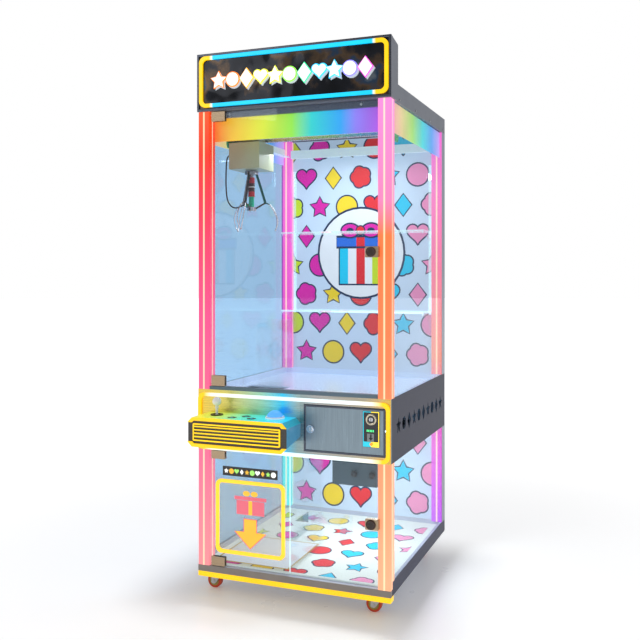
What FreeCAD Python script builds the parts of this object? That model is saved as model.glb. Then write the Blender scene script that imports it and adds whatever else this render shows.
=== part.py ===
"""Claw crane machine: a free-standing prize crane cabinet on swivel castors.

Millimetres, +Z up. The origin is on the floor, under the middle of the whole machine's box.
X runs across the front, +Y runs from the player to the back. Depths named d are measured
back from the cabinet's front plane, and place() turns them into Y.
"""

import FreeCAD, Part
import math
import os

V = FreeCAD.Vector
X, Y, Z = V(1, 0, 0), V(0, 1, 0), V(0, 0, 1)

# ---------------------------------------------------------------- driving dimensions
WIDTH = 800.0                 # cabinet, side panel to side panel
DEPTH = 870.0                 # cabinet, front plane to back
CONSOLE_REACH = 140.0         # how far the console stands out in front
FRONT = -(DEPTH - CONSOLE_REACH) / 2     # Y of the cabinet's front plane
SIDE = WIDTH / 2

BASE_BOTTOM = 93.0
BASE_FRONT_TOP = 118.0
BASE_SIDE_TOP = 145.0
LOWER_FLOOR = 125.0           # top of the printed floor panel
MID_BOTTOM = 580.0
MID_TOP = 819.0
SILL_TOP = 832.0
PLAYFIELD = 792.0             # top of the play surface
POST_TOP = 1923.0
ROOF_TOP = 1990.0
MARQUEE_BOTTOM = 1924.5
MARQUEE_TOP = 2153.0
MARQUEE_SIDE = 403.0
MARQUEE_REAR = 86.0
MARQUEE_NOSE = 3.6

SHEET = 3.0                   # sheet steel
POST = 50.0                   # square light columns
POST_WALL = 3.0
GLASS = 6.0
INNER = SIDE - POST           # inner faces of the columns
REAR_POST = 815.0
REAR_FACE = 865.0             # back of the rear columns
PANEL_D = 845.0               # front face of the back panels

DOOR_D = 6.0                  # front face of the door glass
DOOR_GLASS = 8.0
DOOR_SIDE = INNER - 3.0
DOOR_PIVOT_X = -335.0
DOOR_PIVOT_D = DOOR_D + DOOR_GLASS / 2
PIN_R = 5.0
RUNNING = 0.08                # radial clearance of pins and shafts
PATCH = (-342.0, -283.0)      # x range of the patch hinges

FLAP = (-321.0, -22.5, 176.0, 469.0)     # x0, x1, z0, z1 of the prize flap
FLAP_GAP = 3.0

COIN_DOOR = (58.5, 379.5, 606.5, 781.5)
COIN_GAP = 2.5
COIN_PIVOT_X = 377.0
COIN_MECH = (293.5, 358.0, 640.0, 772.0)
COIN_SLOT_X = 327.0
COIN_LOCK = (84.0, 691.0)
COIN_LOCK_R = 13.0
COIN_DROP = (300.0, 322.0, 74.0, 104.0)  # hole that the coins fall through, into the cash box
REJECT = (328.0, 652.0)

CONSOLE = (-368.7, 42.9)
CONSOLE_TOP = 730.0
CONSOLE_BOTTOM = 618.0
CONSOLE_BOTTOM_REAR = 641.0
CONSOLE_CHAMFER = 19.0
TUBE = 7.0                    # how far the light tubes stand out
JOYSTICK = (-285.0, -58.0)    # x, d
JOYSTICK_PIVOT = 700.0
BUTTON = (-42.5, -47.0)

CHUTE = (-342.0, -158.0, 213.0, 362.0)   # x0, x1, d0, d1, outside of the prize duct
CHUTE_BOX_X = -8.0            # outer face of the lower chute's side wall
CHUTE_REAR = 370.0
GUARD_TOP = 1082.0

SHELVES = (1107.0, 1475.0)
SHELF_D = (690.0, 836.0)
BAND_BOTTOM = 1808.0
RAIL_Z = 1846.0

CLAW = (-267.0, 210.0)        # x, d of the parked claw
HOUSING_HALF = (69.0, 70.0)
HOUSING_Z = (1709.0, 1817.0)
BRIDGE_RAIL_Z = (1828.0, 1846.0)
DRUM_R = 20.0
DRUM_Z = 1775.0
STRING_R = 1.25
PRONG_ANGLES = (31.0, 151.0, 271.0)
PRONG_PIVOT = (20.0, 1698.0)  # radius from the claw's axis, z
ELBOW = (58.0, 1574.5)
PLUNGER_PIN = (12.0, 1547.0)
SOLENOID_Z = (1599.0, 1679.0)
COIL_Z = (1557.0, 1599.0)
SOLENOID_R = 13.5
COIL_R = 11.0
PLUNGER_R = 5.0
PRONG_SLOT = 3.6              # half width of the slots that the arms and links run in
CABLE_ANGLE = 192.0           # the coil's cable lies in this plane through the claw's axis
CABLE_R = 3.0
CABLE_TOP = (80.0, 1775.0)    # where it leaves the carriage's gland
CABLE_END = (26.0, 1565.0)    # where it enters the coil's gland

CASTOR_X, CASTOR_DS = 340.0, (90.0, 780.0)
TRAIL = 31.0
WHEEL_R = 30.0
AXLE_R = 4.0


# ---------------------------------------------------------------- helpers
def place(x, d, z):
    return V(x, FRONT + d, z)


def box(x0, x1, d0, d1, z0, z1):
    return Part.makeBox(x1 - x0, d1 - d0, z1 - z0, place(x0, d0, z0))


def cyl(x, d, z, radius, height, axis=Z):
    return Part.makeCylinder(radius, height, place(x, d, z), axis)


def tube(x, d, z, outer, inner, height, axis=Z):
    return cyl(x, d, z, outer, height, axis).cut(cyl(x, d, z, inner, height, axis))


def fuse(shapes):
    return shapes[0].multiFuse(shapes[1:]).removeSplitter()


def group(shapes):
    return Part.makeCompound(shapes)


def polygon(points, along):
    wire = Part.makePolygon(points + [points[0]])
    return Part.Face(wire).extrude(along)


def plate_xz(points, d0, d1):
    """Outline of (x, z) points, as a plate from depth d0 to d1."""
    return polygon([place(x, d0, z) for x, z in points], V(0, d1 - d0, 0))


def plate_dz(points, x0, x1):
    """Outline of (d, z) points, as a plate from x0 to x1."""
    return polygon([place(x0, d, z) for d, z in points], V(x1 - x0, 0, 0))


def along(axis):
    def test(edge):
        if not isinstance(edge.Curve, Part.Line):
            return False
        return edge.tangentAt(edge.FirstParameter).cross(axis).Length < 1e-6
    return test


def rounded(x0, x1, d0, d1, z0, z1, radius, axis=Y):
    block = box(x0, x1, d0, d1, z0, z1)
    return block.makeFillet(radius, [e for e in block.Edges if along(axis)(e)])


def segments(ring, x0, x1, z0, z1, corner):
    """Parts a ring of tube at the ends of its four straight lengths, with a hair gap at each."""
    gap = 0.6
    slits = []
    for x in (x0 + corner, x1 - corner):
        slits.append(box(x - gap / 2, x + gap / 2, -20, 20, z0 - 1, z1 + 1))
    for z in (z0 + corner, z1 - corner):
        slits.append(box(x0 - 1, x1 + 1, -20, 20, z - gap / 2, z + gap / 2))
    return ring.cut(group(slits)).Solids


def frame_xz(x0, x1, z0, z1, wide, radius, d0, d1):
    """A rectangular ring of tube or trim, standing in the XZ plane."""
    outer = rounded(x0, x1, d0, d1, z0, z1, radius)
    inner = rounded(x0 + wide, x1 - wide, d0, d1, z0 + wide, z1 - wide, radius - wide * 0.6)
    return outer.cut(inner)


def chamfered(x0, x1, z0, z1, cut):
    """Corner points of a rectangle with its four corners cut off."""
    return [(x0 + cut, z0), (x1 - cut, z0), (x1, z0 + cut), (x1, z1 - cut),
            (x1 - cut, z1), (x0 + cut, z1), (x0, z1 - cut), (x0, z0 + cut)]


def shell_loft(front, rear, d0, d1):
    wires = []
    for points, d in ((front, d0), (rear, d1)):
        corners = [place(x, d, z) for x, z in points]
        wires.append(Part.makePolygon(corners + [corners[0]]))
    return Part.makeLoft(wires, True, True)


def swept(points, radius):
    """A round bar along straight runs joined by tangent arcs. Returns the solid, its length
    and its smallest arc radius."""
    edges = []
    start = points[0]
    radii = []
    for before, corner, after in zip(points, points[1:], points[2:]):
        into = (corner - before).normalize()
        out = (after - corner).normalize()
        turn = into.getAngle(out)
        reach = 0.45 * min((corner - before).Length, (after - corner).Length)
        radii.append(reach / math.tan(turn / 2))
        first = corner - into * reach
        last = corner + out * reach
        to_middle = (out - into).normalize()
        sagitta = radii[-1] * (1 / math.cos(turn / 2) - 1)
        edges.append(Part.LineSegment(start, first).toShape())
        edges.append(Part.Arc(first, corner + to_middle * sagitta, last).toShape())
        start = last
    edges.append(Part.LineSegment(start, points[-1]).toShape())
    path = Part.Wire(edges)
    circle = Part.Wire([Part.Circle(points[0], points[1] - points[0], radius).toShape()])
    solid = path.makePipeShell([circle], True, True)
    return solid, path.Length, min(radii)


def around(shape, angle, x=CLAW[0], d=CLAW[1]):
    """Turns a shape about the claw's vertical axis."""
    turned = shape.copy()
    turned.rotate(place(x, d, 0), Z, angle)
    return turned


def star(centre_d, centre_z, outer, points=5):
    inner = outer * 0.45
    corners = []
    for k in range(points * 2):
        reach = outer if k % 2 == 0 else inner
        angle = math.pi / 2 + k * math.pi / points
        corners.append((centre_d + reach * math.cos(angle), centre_z + reach * math.sin(angle)))
    return corners


def write(name, shape):
    if not shape.isValid():
        print("invalid shape:", name)
    shape.exportStep(os.path.join("parts", name + ".step"))


# ---------------------------------------------------------------- base and castors
def castor_places():
    for tag, x, d in (("front_left", -CASTOR_X, CASTOR_DS[0]), ("front_right", CASTOR_X, CASTOR_DS[0]),
                      ("rear_left", -CASTOR_X, CASTOR_DS[1]), ("rear_right", CASTOR_X, CASTOR_DS[1])):
        yield tag, x, d


def base_frame():
    wall = 15.0
    bottom = 4.0
    tray = fuse([
        box(-SIDE, SIDE, 0, DEPTH, BASE_BOTTOM, BASE_BOTTOM + bottom),
        box(-SIDE, SIDE, 0, 25, BASE_BOTTOM, BASE_FRONT_TOP),
        box(-SIDE, -SIDE + wall, 25, DEPTH, BASE_BOTTOM, BASE_SIDE_TOP),
        box(SIDE - wall, SIDE, 25, DEPTH, BASE_BOTTOM, BASE_SIDE_TOP),
        box(-SIDE, SIDE, PANEL_D, DEPTH, BASE_BOTTOM, BASE_SIDE_TOP),
        box(-SIDE + wall, SIDE - wall, 400, 430, BASE_BOTTOM, LOWER_FLOOR - GLASS),
    ])
    cuts = [cyl(DOOR_PIVOT_X, DOOR_PIVOT_D, BASE_FRONT_TOP - 12, PIN_R + RUNNING, 20)]
    pads = []
    for _, x, d in castor_places():
        pads.append(box(x - 32, x + 32, d - 32, d + 32, BASE_BOTTOM - 3, BASE_BOTTOM))
        cuts.append(cyl(x, d, BASE_BOTTOM - 10, 6 + RUNNING, 30))
    return tray.multiFuse(pads).removeSplitter().cut(group(cuts))


def castor_fork(x, d):
    crown_top = BASE_BOTTOM - 3.3
    axle_x = x - TRAIL
    parts = [
        cyl(x, d, crown_top - 10, 22, 10),
        cyl(x, d, crown_top - 2, 6, 14),
        cyl(axle_x, d - 19, WHEEL_R, 4, 38, Y),
    ]
    for side in (-18.0, 15.0):
        cheek = plate_xz([(x - 20, crown_top - 8), (x + 14, crown_top - 8), (x + 10, crown_top - 22),
                          (axle_x + 11, WHEEL_R - 6), (axle_x + 5, WHEEL_R - 11), (axle_x - 5, WHEEL_R - 11),
                          (axle_x - 11, WHEEL_R - 6), (axle_x - 9, WHEEL_R + 16)], d + side, d + side + 3)
        parts.append(cheek)
    parts.append(cyl(axle_x, d - 21, WHEEL_R, 7, 3, Y))
    parts.append(cyl(axle_x, d + 18, WHEEL_R, 7, 3, Y))
    return fuse(parts)


def castor_wheel(x, d):
    axle_x = x - TRAIL
    half = 12.0
    bore = AXLE_R + RUNNING
    # (offset along the axle, radius): hub, web, then the tyre's rounded tread
    side = [(half + 1.5, bore), (half + 1.5, 9), (half - 2, 11), (half - 2, 19),
            (half, 21), (half, WHEEL_R - 3), (half - 3, WHEEL_R)]
    profile = [(-offset, radius) for offset, radius in side] + side[::-1]
    rim = [place(axle_x, d + offset, WHEEL_R + radius) for offset, radius in profile]
    rim = Part.makePolygon(rim + [rim[0]])
    return Part.Face(rim).revolve(place(axle_x, d, WHEEL_R), Y, 360)


# ---------------------------------------------------------------- columns, glass and panels
def column(x0, d0, z0, z1):
    outer = rounded(x0, x0 + POST, d0, d0 + POST, z0, z1, 4, Z)
    inner = box(x0 + POST_WALL, x0 + POST - POST_WALL, d0 + POST_WALL, d0 + POST - POST_WALL, z0, z1)
    return outer.cut(inner)


def corner_posts():
    solids = []
    for x0 in (-SIDE, SIDE - POST):
        for d0 in (0.0, REAR_POST):
            bottom = BASE_FRONT_TOP if d0 == 0 else BASE_SIDE_TOP
            clear = box(-SIDE, SIDE, 24, DEPTH, 0, BASE_SIDE_TOP)
            solids.append(column(x0, d0, bottom, MID_BOTTOM).cut(clear))
            solids.append(column(x0, d0, MID_TOP, POST_TOP))
    for x0 in (-SIDE, INNER):
        solids.append(box(x0, x0 + POST, REAR_FACE, DEPTH, BASE_SIDE_TOP, POST_TOP))
    return group(solids)


def side_glasses():
    panes = []
    for x0 in (-SIDE + 3, SIDE - 3 - GLASS):
        panes.append(box(x0, x0 + GLASS, POST, REAR_POST, BASE_SIDE_TOP, MID_BOTTOM))
        panes.append(box(x0, x0 + GLASS, POST, REAR_POST, MID_TOP, POST_TOP))
    return group(panes)


def back_panels():
    return group([
        box(-INNER, INNER, PANEL_D, PANEL_D + GLASS, BASE_SIDE_TOP, MID_BOTTOM),
        box(-INNER, INNER, PANEL_D, PANEL_D + GLASS, MID_TOP, POST_TOP),
    ])


def side_cutouts():
    """Tools that cut a row of stars, discs and diamonds through both side panels."""
    tools = []
    for k in range(10):
        d = 104.0 + 75.0 * k
        z = 706.0 - 1.2 * k
        if k % 3 == 0:
            shape = plate_dz(star(d, z, 34), -SIDE - 1, SIDE + 1)
        elif k % 3 == 1:
            shape = cyl(-SIDE - 1, d, z, 25, WIDTH + 2, X)
        else:
            shape = plate_dz([(d, z - 33), (d + 25, z), (d, z + 33), (d - 25, z)], -SIDE - 1, SIDE + 1)
        tools.append(shape)
    return tools


def mid_cabinet():
    x0, x1, d0, d1 = CHUTE
    rear = REAR_FACE - SHEET
    shell = fuse([
        box(-SIDE, SIDE, SHEET, REAR_FACE, MID_BOTTOM, MID_BOTTOM + SHEET),
        box(-SIDE, -SIDE + SHEET, SHEET, REAR_FACE, MID_BOTTOM, MID_TOP),
        box(SIDE - SHEET, SIDE, SHEET, REAR_FACE, MID_BOTTOM, MID_TOP),
        box(-SIDE, SIDE, rear, REAR_FACE, MID_BOTTOM, MID_TOP),
        box(-SIDE + SHEET, SIDE - SHEET, SHEET, 27, MID_BOTTOM, MID_BOTTOM + 20),
        box(-SIDE, SIDE, SHEET, 27, PLAYFIELD - GLASS, MID_TOP),
        box(-INNER + 0.5, INNER - 0.5, 0, 27, MID_TOP, SILL_TOP),
    ])
    cuts = side_cutouts()
    cuts.append(box(x0, x1, d0, d1, MID_BOTTOM - 1, MID_BOTTOM + SHEET + 1))
    cuts.append(cyl(DOOR_PIVOT_X, DOOR_PIVOT_D, SILL_TOP - 12, PIN_R + RUNNING, 20))
    cuts.append(cyl(DOOR_PIVOT_X, DOOR_PIVOT_D, MID_BOTTOM - 2, PIN_R + RUNNING, 14))
    cuts.append(box(-200, -150, rear - 1, REAR_FACE + 1, 610, 640))
    cuts.append(box(*COIN_DROP, MID_BOTTOM - 1, MID_BOTTOM + SHEET + 1))
    return shell.cut(group(cuts))


def playfield_floor():
    x0, x1, d0, d1 = CHUTE
    side = SIDE - SHEET
    rear = REAR_FACE - SHEET
    low = PLAYFIELD - GLASS
    tray = fuse([
        box(-side, side, 27, rear, low, PLAYFIELD),
        box(-side, -side + 12, 27, rear, PLAYFIELD, MID_TOP),
        box(side - 12, side, 27, rear, PLAYFIELD, MID_TOP),
        box(-side, side, PANEL_D, rear, PLAYFIELD, MID_TOP),
    ])
    return tray.cut(box(x0, x1, d0, d1, low - 1, PLAYFIELD + 1))


def lower_floor_panel():
    side = SIDE - 15.0
    return box(-side, side, 25, PANEL_D, LOWER_FLOOR - GLASS, LOWER_FLOOR)


def prize_chute():
    x0, x1, d0, d1 = CHUTE
    wall = 2.0
    duct = box(x0, x1, d0, d1, MID_BOTTOM - 2, PLAYFIELD)
    duct = duct.cut(box(x0 + wall, x1 - wall, d0 + wall, d1 - wall, MID_BOTTOM - 3, PLAYFIELD + 1))
    left = -SIDE + SHEET + 12
    guard = fuse([
        box(x1, x1 + GLASS, 30, CHUTE_REAR + 2, PLAYFIELD, GUARD_TOP),
        box(left, x1, CHUTE_REAR - 4, CHUTE_REAR + 2, PLAYFIELD, GUARD_TOP),
    ])
    left = -SIDE + 15
    bin_walls = fuse([
        box(CHUTE_BOX_X - GLASS, CHUTE_BOX_X, 24, CHUTE_REAR, LOWER_FLOOR, MID_BOTTOM - 2),
        box(left, CHUTE_BOX_X - GLASS, CHUTE_REAR - GLASS, CHUTE_REAR, LOWER_FLOOR, MID_BOTTOM - 2),
    ])
    return group([duct, guard, bin_walls])


def clear_stand():
    wall = 5.0
    x0, x1, d0, d1, top = -150.0, 66.0, 388.0, 540.0, 216.0
    return fuse([
        box(x0, x1, d0, d1, top - wall, top),
        box(x0, x0 + wall, d0, d1, LOWER_FLOOR, top),
        box(x1 - wall, x1, d0, d1, LOWER_FLOOR, top),
    ])


def display_shelves():
    """Two glass shelves on cantilever brackets, and the clear stand below."""
    solids = [clear_stand()]
    reach = PANEL_D - SHELF_D[0] - 14
    for x0 in (-INNER, INNER - 18):
        upright = box(x0, x0 + 18, PANEL_D - 8, PANEL_D, MID_TOP, BAND_BOTTOM - 30)
        slots = []
        for k in range(36):
            z = MID_TOP + 60 + 25 * k
            slots.append(box(x0 + 7.5, x0 + 10.5, PANEL_D - 9, PANEL_D - 3, z, z + 13))
        solids.append(upright.cut(group(slots)))
        for z in SHELVES:
            back = PANEL_D - 8
            bracket = plate_dz([(back, z - 8), (back - reach, z - 8), (back - reach, z - 16),
                                (back - reach * 0.55, z - 26), (back - reach * 0.25, z - 48),
                                (back - reach * 0.08, z - 84), (back, z - 96)], x0 + 7, x0 + 11)
            solids.append(bracket)
    for z in SHELVES:
        solids.append(box(-INNER + 2, INNER - 2, SHELF_D[0], SHELF_D[1], z - 8, z))
    return group(solids)


# ---------------------------------------------------------------- fascia, console, coin unit
def front_fascia():
    x0, x1, z0, z1 = COIN_DOOR
    plate = box(-SIDE, SIDE, 0, SHEET, MID_BOTTOM, MID_TOP)
    door = box(x0 - COIN_GAP, x1 + COIN_GAP, -1, SHEET + 1, z0 - COIN_GAP, z1 + COIN_GAP)
    console = box(CONSOLE[0] + 30, CONSOLE[1] - 30, -1, SHEET + 1, CONSOLE_BOTTOM_REAR + 15, CONSOLE_TOP - 15)
    return plate.cut(door).cut(console)


def console_housing():
    x0, x1 = CONSOLE
    nose = -CONSOLE_REACH + TUBE
    wall = SHEET
    outer = shell_loft(chamfered(x0, x1, CONSOLE_BOTTOM, CONSOLE_TOP, CONSOLE_CHAMFER),
                       chamfered(x0, x1, CONSOLE_BOTTOM_REAR, CONSOLE_TOP, CONSOLE_CHAMFER), nose, 0)
    inner = shell_loft(
        chamfered(x0 + wall, x1 - wall, CONSOLE_BOTTOM + wall, CONSOLE_TOP - wall, CONSOLE_CHAMFER),
        chamfered(x0 + wall, x1 - wall, CONSOLE_BOTTOM_REAR + wall, CONSOLE_TOP - wall, CONSOLE_CHAMFER),
        nose + wall, 0)
    holes = [cyl(JOYSTICK[0], JOYSTICK[1], CONSOLE_TOP - 10, 16, 20),
             cyl(BUTTON[0], BUTTON[1], CONSOLE_TOP - 10, 11, 20)]
    return outer.cut(inner).cut(group(holes))


def console_grille():
    """Rim and four slats on the console's front."""
    x0, x1, z0, z1 = -346.0, 18.0, 641.0, 707.0
    nose = -CONSOLE_REACH + TUBE
    rim = frame_xz(x0, x1, z0, z1, 5, 4, nose - 5, nose)
    slats = []
    for k in range(4):
        z = z0 + 12 + 13.0 * k
        slats.append(box(x0 + 4, x1 - 4, nose - 4, nose, z, z + 6))
    return fuse([rim] + slats)


def control_bezels():
    x, d = JOYSTICK
    base = rounded(x - 30, x + 30, d - 26, d + 26, 676, CONSOLE_TOP - SHEET, 6, Z)
    base = base.cut(cyl(x, d, 670, 18, 80))
    ring = tube(x, d, CONSOLE_TOP, 25, 15, 4)
    bx, bd = BUTTON
    bezel = tube(bx, bd, CONSOLE_TOP, 36, 30.5, 8)
    switch = tube(bx, bd, CONSOLE_TOP - SHEET - 34, 15, 8 + RUNNING, 34)
    pin_hole = cyl(x - 26, d, JOYSTICK_PIVOT, 1.5 + RUNNING, 52, X)
    return group([base.cut(pin_hole), ring, bezel, switch])


def joystick_gimbal():
    """The ring that tilts fore and aft on pins along X, and carries the stick's own pins."""
    x, d = JOYSTICK
    ring = tube(x, d, JOYSTICK_PIVOT - 4, 14, 9, 8)
    pins = [cyl(x - 23, d, JOYSTICK_PIVOT, 1.5, 11, X), cyl(x + 12, d, JOYSTICK_PIVOT, 1.5, 11, X)]
    return fuse([ring] + pins).cut(cyl(x, d - 16, JOYSTICK_PIVOT, 1.2 + RUNNING, 32, Y))


def joystick():
    x, d = JOYSTICK
    return fuse([
        Part.makeSphere(17.5, place(x, d, 783)),
        cyl(x, d, 682, 5, 90),
        Part.makeSphere(7.5, place(x, d, JOYSTICK_PIVOT)),
        cyl(x, d - 13, JOYSTICK_PIVOT, 1.2, 26, Y),
        Part.makeCone(8, 5, 12, place(x, d, 757)),
    ])


def start_button():
    x, d = BUTTON
    dome_r = 33.0
    cap_r = 30.0
    rise = 17.0
    low = CONSOLE_TOP + 6
    dome = Part.makeSphere(dome_r, place(x, d, low + 8 + rise - dome_r))
    dome = dome.common(cyl(x, d, low + 8, cap_r, 40))
    return fuse([cyl(x, d, low, cap_r, 8.0), dome, cyl(x, d, CONSOLE_TOP - SHEET - 28, 8, 36)])


def coin_door():
    x0, x1, z0, z1 = COIN_DOOR
    mx0, mx1, mz0, mz1 = COIN_MECH
    leaf = fuse([box(x0, COIN_PIVOT_X, -1, 2, z0, z1), cyl(COIN_PIVOT_X, 0.5, z0, 1.5, z1 - z0)])
    flange = box(x0 + 6, x1 - 22, 2, 12, z0 + 6, z1 - 6)
    flange = flange.cut(box(x0 + 8, x1 - 24, 1, 13, z0 + 8, z1 - 8))
    leaf = fuse([leaf, flange])
    return leaf.cut(group([
        box(mx0 + 8, mx1 - 8, -2, 3, mz0 + 4, mz1 - 8),
        cyl(COIN_LOCK[0], -2, COIN_LOCK[1], COIN_LOCK_R + RUNNING, 8, Y),
    ]))


def coin_mech():
    x0, x1, z0, z1 = COIN_MECH
    plate = rounded(x0, x1, -4, -1, z0, z1, 2)
    body = box(x0 + 9, x1 - 9, -1, 62, z0 + 5, z1 - 9)
    slot = box(COIN_SLOT_X - 3, COIN_SLOT_X + 3, -10, 52, 662, 690)
    button = cyl(REJECT[0], -10, REJECT[1], 6 + RUNNING, 22, Y)
    return fuse([plate, body]).cut(slot).cut(button)


def lock_barrel(x, d, z, radius, length):
    """A key barrel along Y with its keyway, its front at depth d."""
    barrel = cyl(x, d, z, radius, length, Y)
    return barrel.cut(box(x - 1, x + 1, d - 1, d + 3, z - radius * 0.5, z + radius * 0.5))


def coin_box():
    x0, x1, d0, d1, z0 = 150.0, 328.0, 60.0, 230.0, 476.0
    wall = 2.5
    case = box(x0, x1, d0, d1, z0, MID_BOTTOM).cut(
        box(x0 + wall, x1 - wall, d0 + wall, d1 - wall, z0 + wall, MID_BOTTOM + 1))
    knobs = [cyl(x, d0 - 7, 522, 8, 7, Y) for x in (240.0, 310.0)]
    return group([case] + knobs)


def cash_box():
    """Open-topped tray that the coins drop into, standing in the housing."""
    x0, x1, d0, d1, z0, z1 = 156.0, 323.0, 66.0, 222.0, 479.0, 555.0
    wall = 1.6
    tray = box(x0, x1, d0, d1, z0, z1)
    return tray.cut(box(x0 + wall, x1 - wall, d0 + wall, d1 - wall, z0 + wall, z1 + 1))


def control_electronics():
    """Main board on its legs, with its larger parts, and the boxed power supply beside it."""
    floor = MID_BOTTOM + SHEET
    board = box(-100, 120, 640, 800, floor + 15, floor + 17)
    legs = [cyl(x, d, floor, 3, 15) for x in (-92, 112) for d in (648, 792)]
    top = floor + 17
    chips = [box(-60, -20, 680, 720, top, top + 6), box(10, 34, 690, 730, top, top + 14),
             box(60, 110, 660, 676, top, top + 12), box(-90, -40, 776, 792, top, top + 12)]
    supply = rounded(-385, -245, 640, 800, floor, floor + 57, 2, Z)
    return group([fuse([board] + legs + chips), supply])


def power_inlet():
    """Three-pin appliance inlet in the back of the middle section."""
    flange = rounded(-206, -144, REAR_FACE, DEPTH, 603, 647, 3)
    body = box(-200, -150, REAR_FACE - 24, REAR_FACE, 610, 640)
    socket = rounded(-190, -160, REAR_FACE - 14, DEPTH + 1, 615, 635, 4)
    pins = [box(x - 1, x + 1, REAR_FACE - 14, REAR_FACE, z - 3, z + 3)
            for x, z in ((-182, 622), (-168, 622), (-175, 630))]
    return fuse([fuse([flange, body]).cut(socket)] + pins)


def speaker():
    x, d, z = 250.0, 700.0, MID_BOTTOM + SHEET
    return fuse([tube(x, d, z, 52, 46, 4), Part.makeCone(50, 20, 24, place(x, d, z + 4)),
                 cyl(x, d, z + 28, 28, 14)])


# ---------------------------------------------------------------- roof and marquee
def marquee_housing():
    side = MARQUEE_SIDE
    wall = SHEET
    rear_top, ridge_d, ridge_z = 2135.0, 29.0, 2146.0
    profile = [(-MARQUEE_NOSE, MARQUEE_BOTTOM), (MARQUEE_REAR, MARQUEE_BOTTOM), (MARQUEE_REAR, rear_top),
               (ridge_d, ridge_z), (-MARQUEE_NOSE, MARQUEE_TOP)]
    inside = [(-MARQUEE_NOSE - 1, MARQUEE_BOTTOM + 8), (MARQUEE_REAR - wall, MARQUEE_BOTTOM + 8),
              (MARQUEE_REAR - wall, rear_top - wall), (ridge_d, ridge_z - wall),
              (-MARQUEE_NOSE - 1, MARQUEE_TOP - wall - 0.5)]
    case = plate_dz(profile, -side, side).cut(plate_dz(inside, -side + wall, side - wall))
    return case.cut(cyl(DOOR_PIVOT_X, DOOR_PIVOT_D, MARQUEE_BOTTOM - 1, PIN_R + RUNNING, 9))


def marquee_face():
    side = MARQUEE_SIDE - SHEET
    return box(-side, side, 0, 4, MARQUEE_BOTTOM + 8, MARQUEE_TOP - SHEET - 2.5)


def roof_panel():
    low = POST_TOP
    outer = box(-SIDE, SIDE, MARQUEE_REAR, DEPTH, low, ROOF_TOP)
    inner = box(-SIDE + SHEET, SIDE - SHEET, MARQUEE_REAR - 1, DEPTH - SHEET, low - 1, ROOF_TOP - SHEET)
    rim = box(-SIDE, SIDE, MARQUEE_REAR, MARQUEE_REAR + 20, ROOF_TOP - 12, ROOF_TOP)
    return fuse([outer.cut(inner), rim])


def neon_tubes():
    """The light tubes: marquee frame, fascia frame, console edges and the strip under the base."""
    corner = 28.0
    low, top = MARQUEE_BOTTOM + 15, MARQUEE_TOP - 11
    marquee = segments(frame_xz(-392, 392, low, top, 14, 26, -9, 0), -392, 392, low, top, corner)
    low, top = 582.0, 806.0
    fascia = segments(frame_xz(-397, 397, low, top, 13, 26, -TUBE - 2, 0), -397, 397, low, top, corner)
    base = fuse([box(-SIDE, SIDE, 0, 14, 73, BASE_BOTTOM), box(SIDE - 14, SIDE, 0, 36, 73, BASE_BOTTOM)])
    x0, x1 = CONSOLE
    points = chamfered(x0, x1, CONSOLE_BOTTOM, CONSOLE_TOP, CONSOLE_CHAMFER)
    inset = chamfered(x0 + 12, x1 - 12, CONSOLE_BOTTOM + 12, CONSOLE_TOP - 12, CONSOLE_CHAMFER - 6)
    nose = -CONSOLE_REACH
    ring = plate_xz(points, nose, nose + TUBE).cut(plate_xz(inset, nose - 1, nose + TUBE + 1))
    middle = box(x0 - 1, x1 + 1, nose - 1, nose + TUBE + 1,
                 CONSOLE_BOTTOM + CONSOLE_CHAMFER, CONSOLE_TOP - CONSOLE_CHAMFER)
    strips = ring.cut(middle)
    return group(marquee + fascia + [base] + strips.Solids)


def light_bands():
    """Lit bands round the top of the play area, inside the glass."""
    top = POST_TOP - 2
    return group([
        box(-INNER + 1, INNER - 1, 42, 45, BAND_BOTTOM, top),
        box(-SIDE + 11, -SIDE + 14, POST + 2, REAR_POST - 2, BAND_BOTTOM, top),
        box(SIDE - 14, SIDE - 11, POST + 2, REAR_POST - 2, BAND_BOTTOM, top),
    ])


def gantry_frame():
    """Front strip, rear beam and the two side rails that the bridge slides on."""
    solids = [box(-INNER + 1, INNER - 1, 26, 40, 1899, POST_TOP),
              box(-INNER, INNER, 815, 837, 1839, 1878)]
    for side in (-1, 1):
        ledge = box(*sorted((side * 356.0, side * 384.0)), POST, REAR_POST, RAIL_Z, RAIL_Z + 3)
        web = box(*sorted((side * 381.0, side * 384.0)), POST, REAR_POST, RAIL_Z, 1885)
        solids.append(fuse([ledge, web]))
    return group(solids)


def screws():
    """Round screw heads on the front strip, the roof skirts and the middle section's back."""
    heads = []
    for x in (-275.0, 278.0):
        heads.append(cyl(x, 23, 1911, 5, 3, Y))
    for d in (120.0, 350.0, 590.0, 830.0):
        heads.append(cyl(-SIDE - 2.5, d, 1935, 5, 2.5, X))
        heads.append(cyl(SIDE, d, 1935, 5, 2.5, X))
    for x in (-330.0, 330.0):
        for z in (600.0, 790.0):
            heads.append(cyl(x, REAR_FACE, z, 5, 2.5, Y))
    return group(heads)


# ---------------------------------------------------------------- doors
def door_glass(z0, z1):
    return box(-DOOR_SIDE, DOOR_SIDE, DOOR_D, DOOR_D + DOOR_GLASS, z0, z1)


def patch(z0, z1, glass_z0, glass_z1, pin_z):
    """A clamp over one corner of the glass, with the pivot pin on its end."""
    x0, x1 = PATCH
    rear = DOOR_D + DOOR_GLASS
    block = box(x0, x1, DOOR_D - 4, rear + 4, z0, z1)
    block = block.cut(box(x0 - 1, x1 + 1, DOOR_D, rear, glass_z0, glass_z1))
    return fuse([block, cyl(DOOR_PIVOT_X, DOOR_PIVOT_D, pin_z, PIN_R, 14)])


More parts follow.
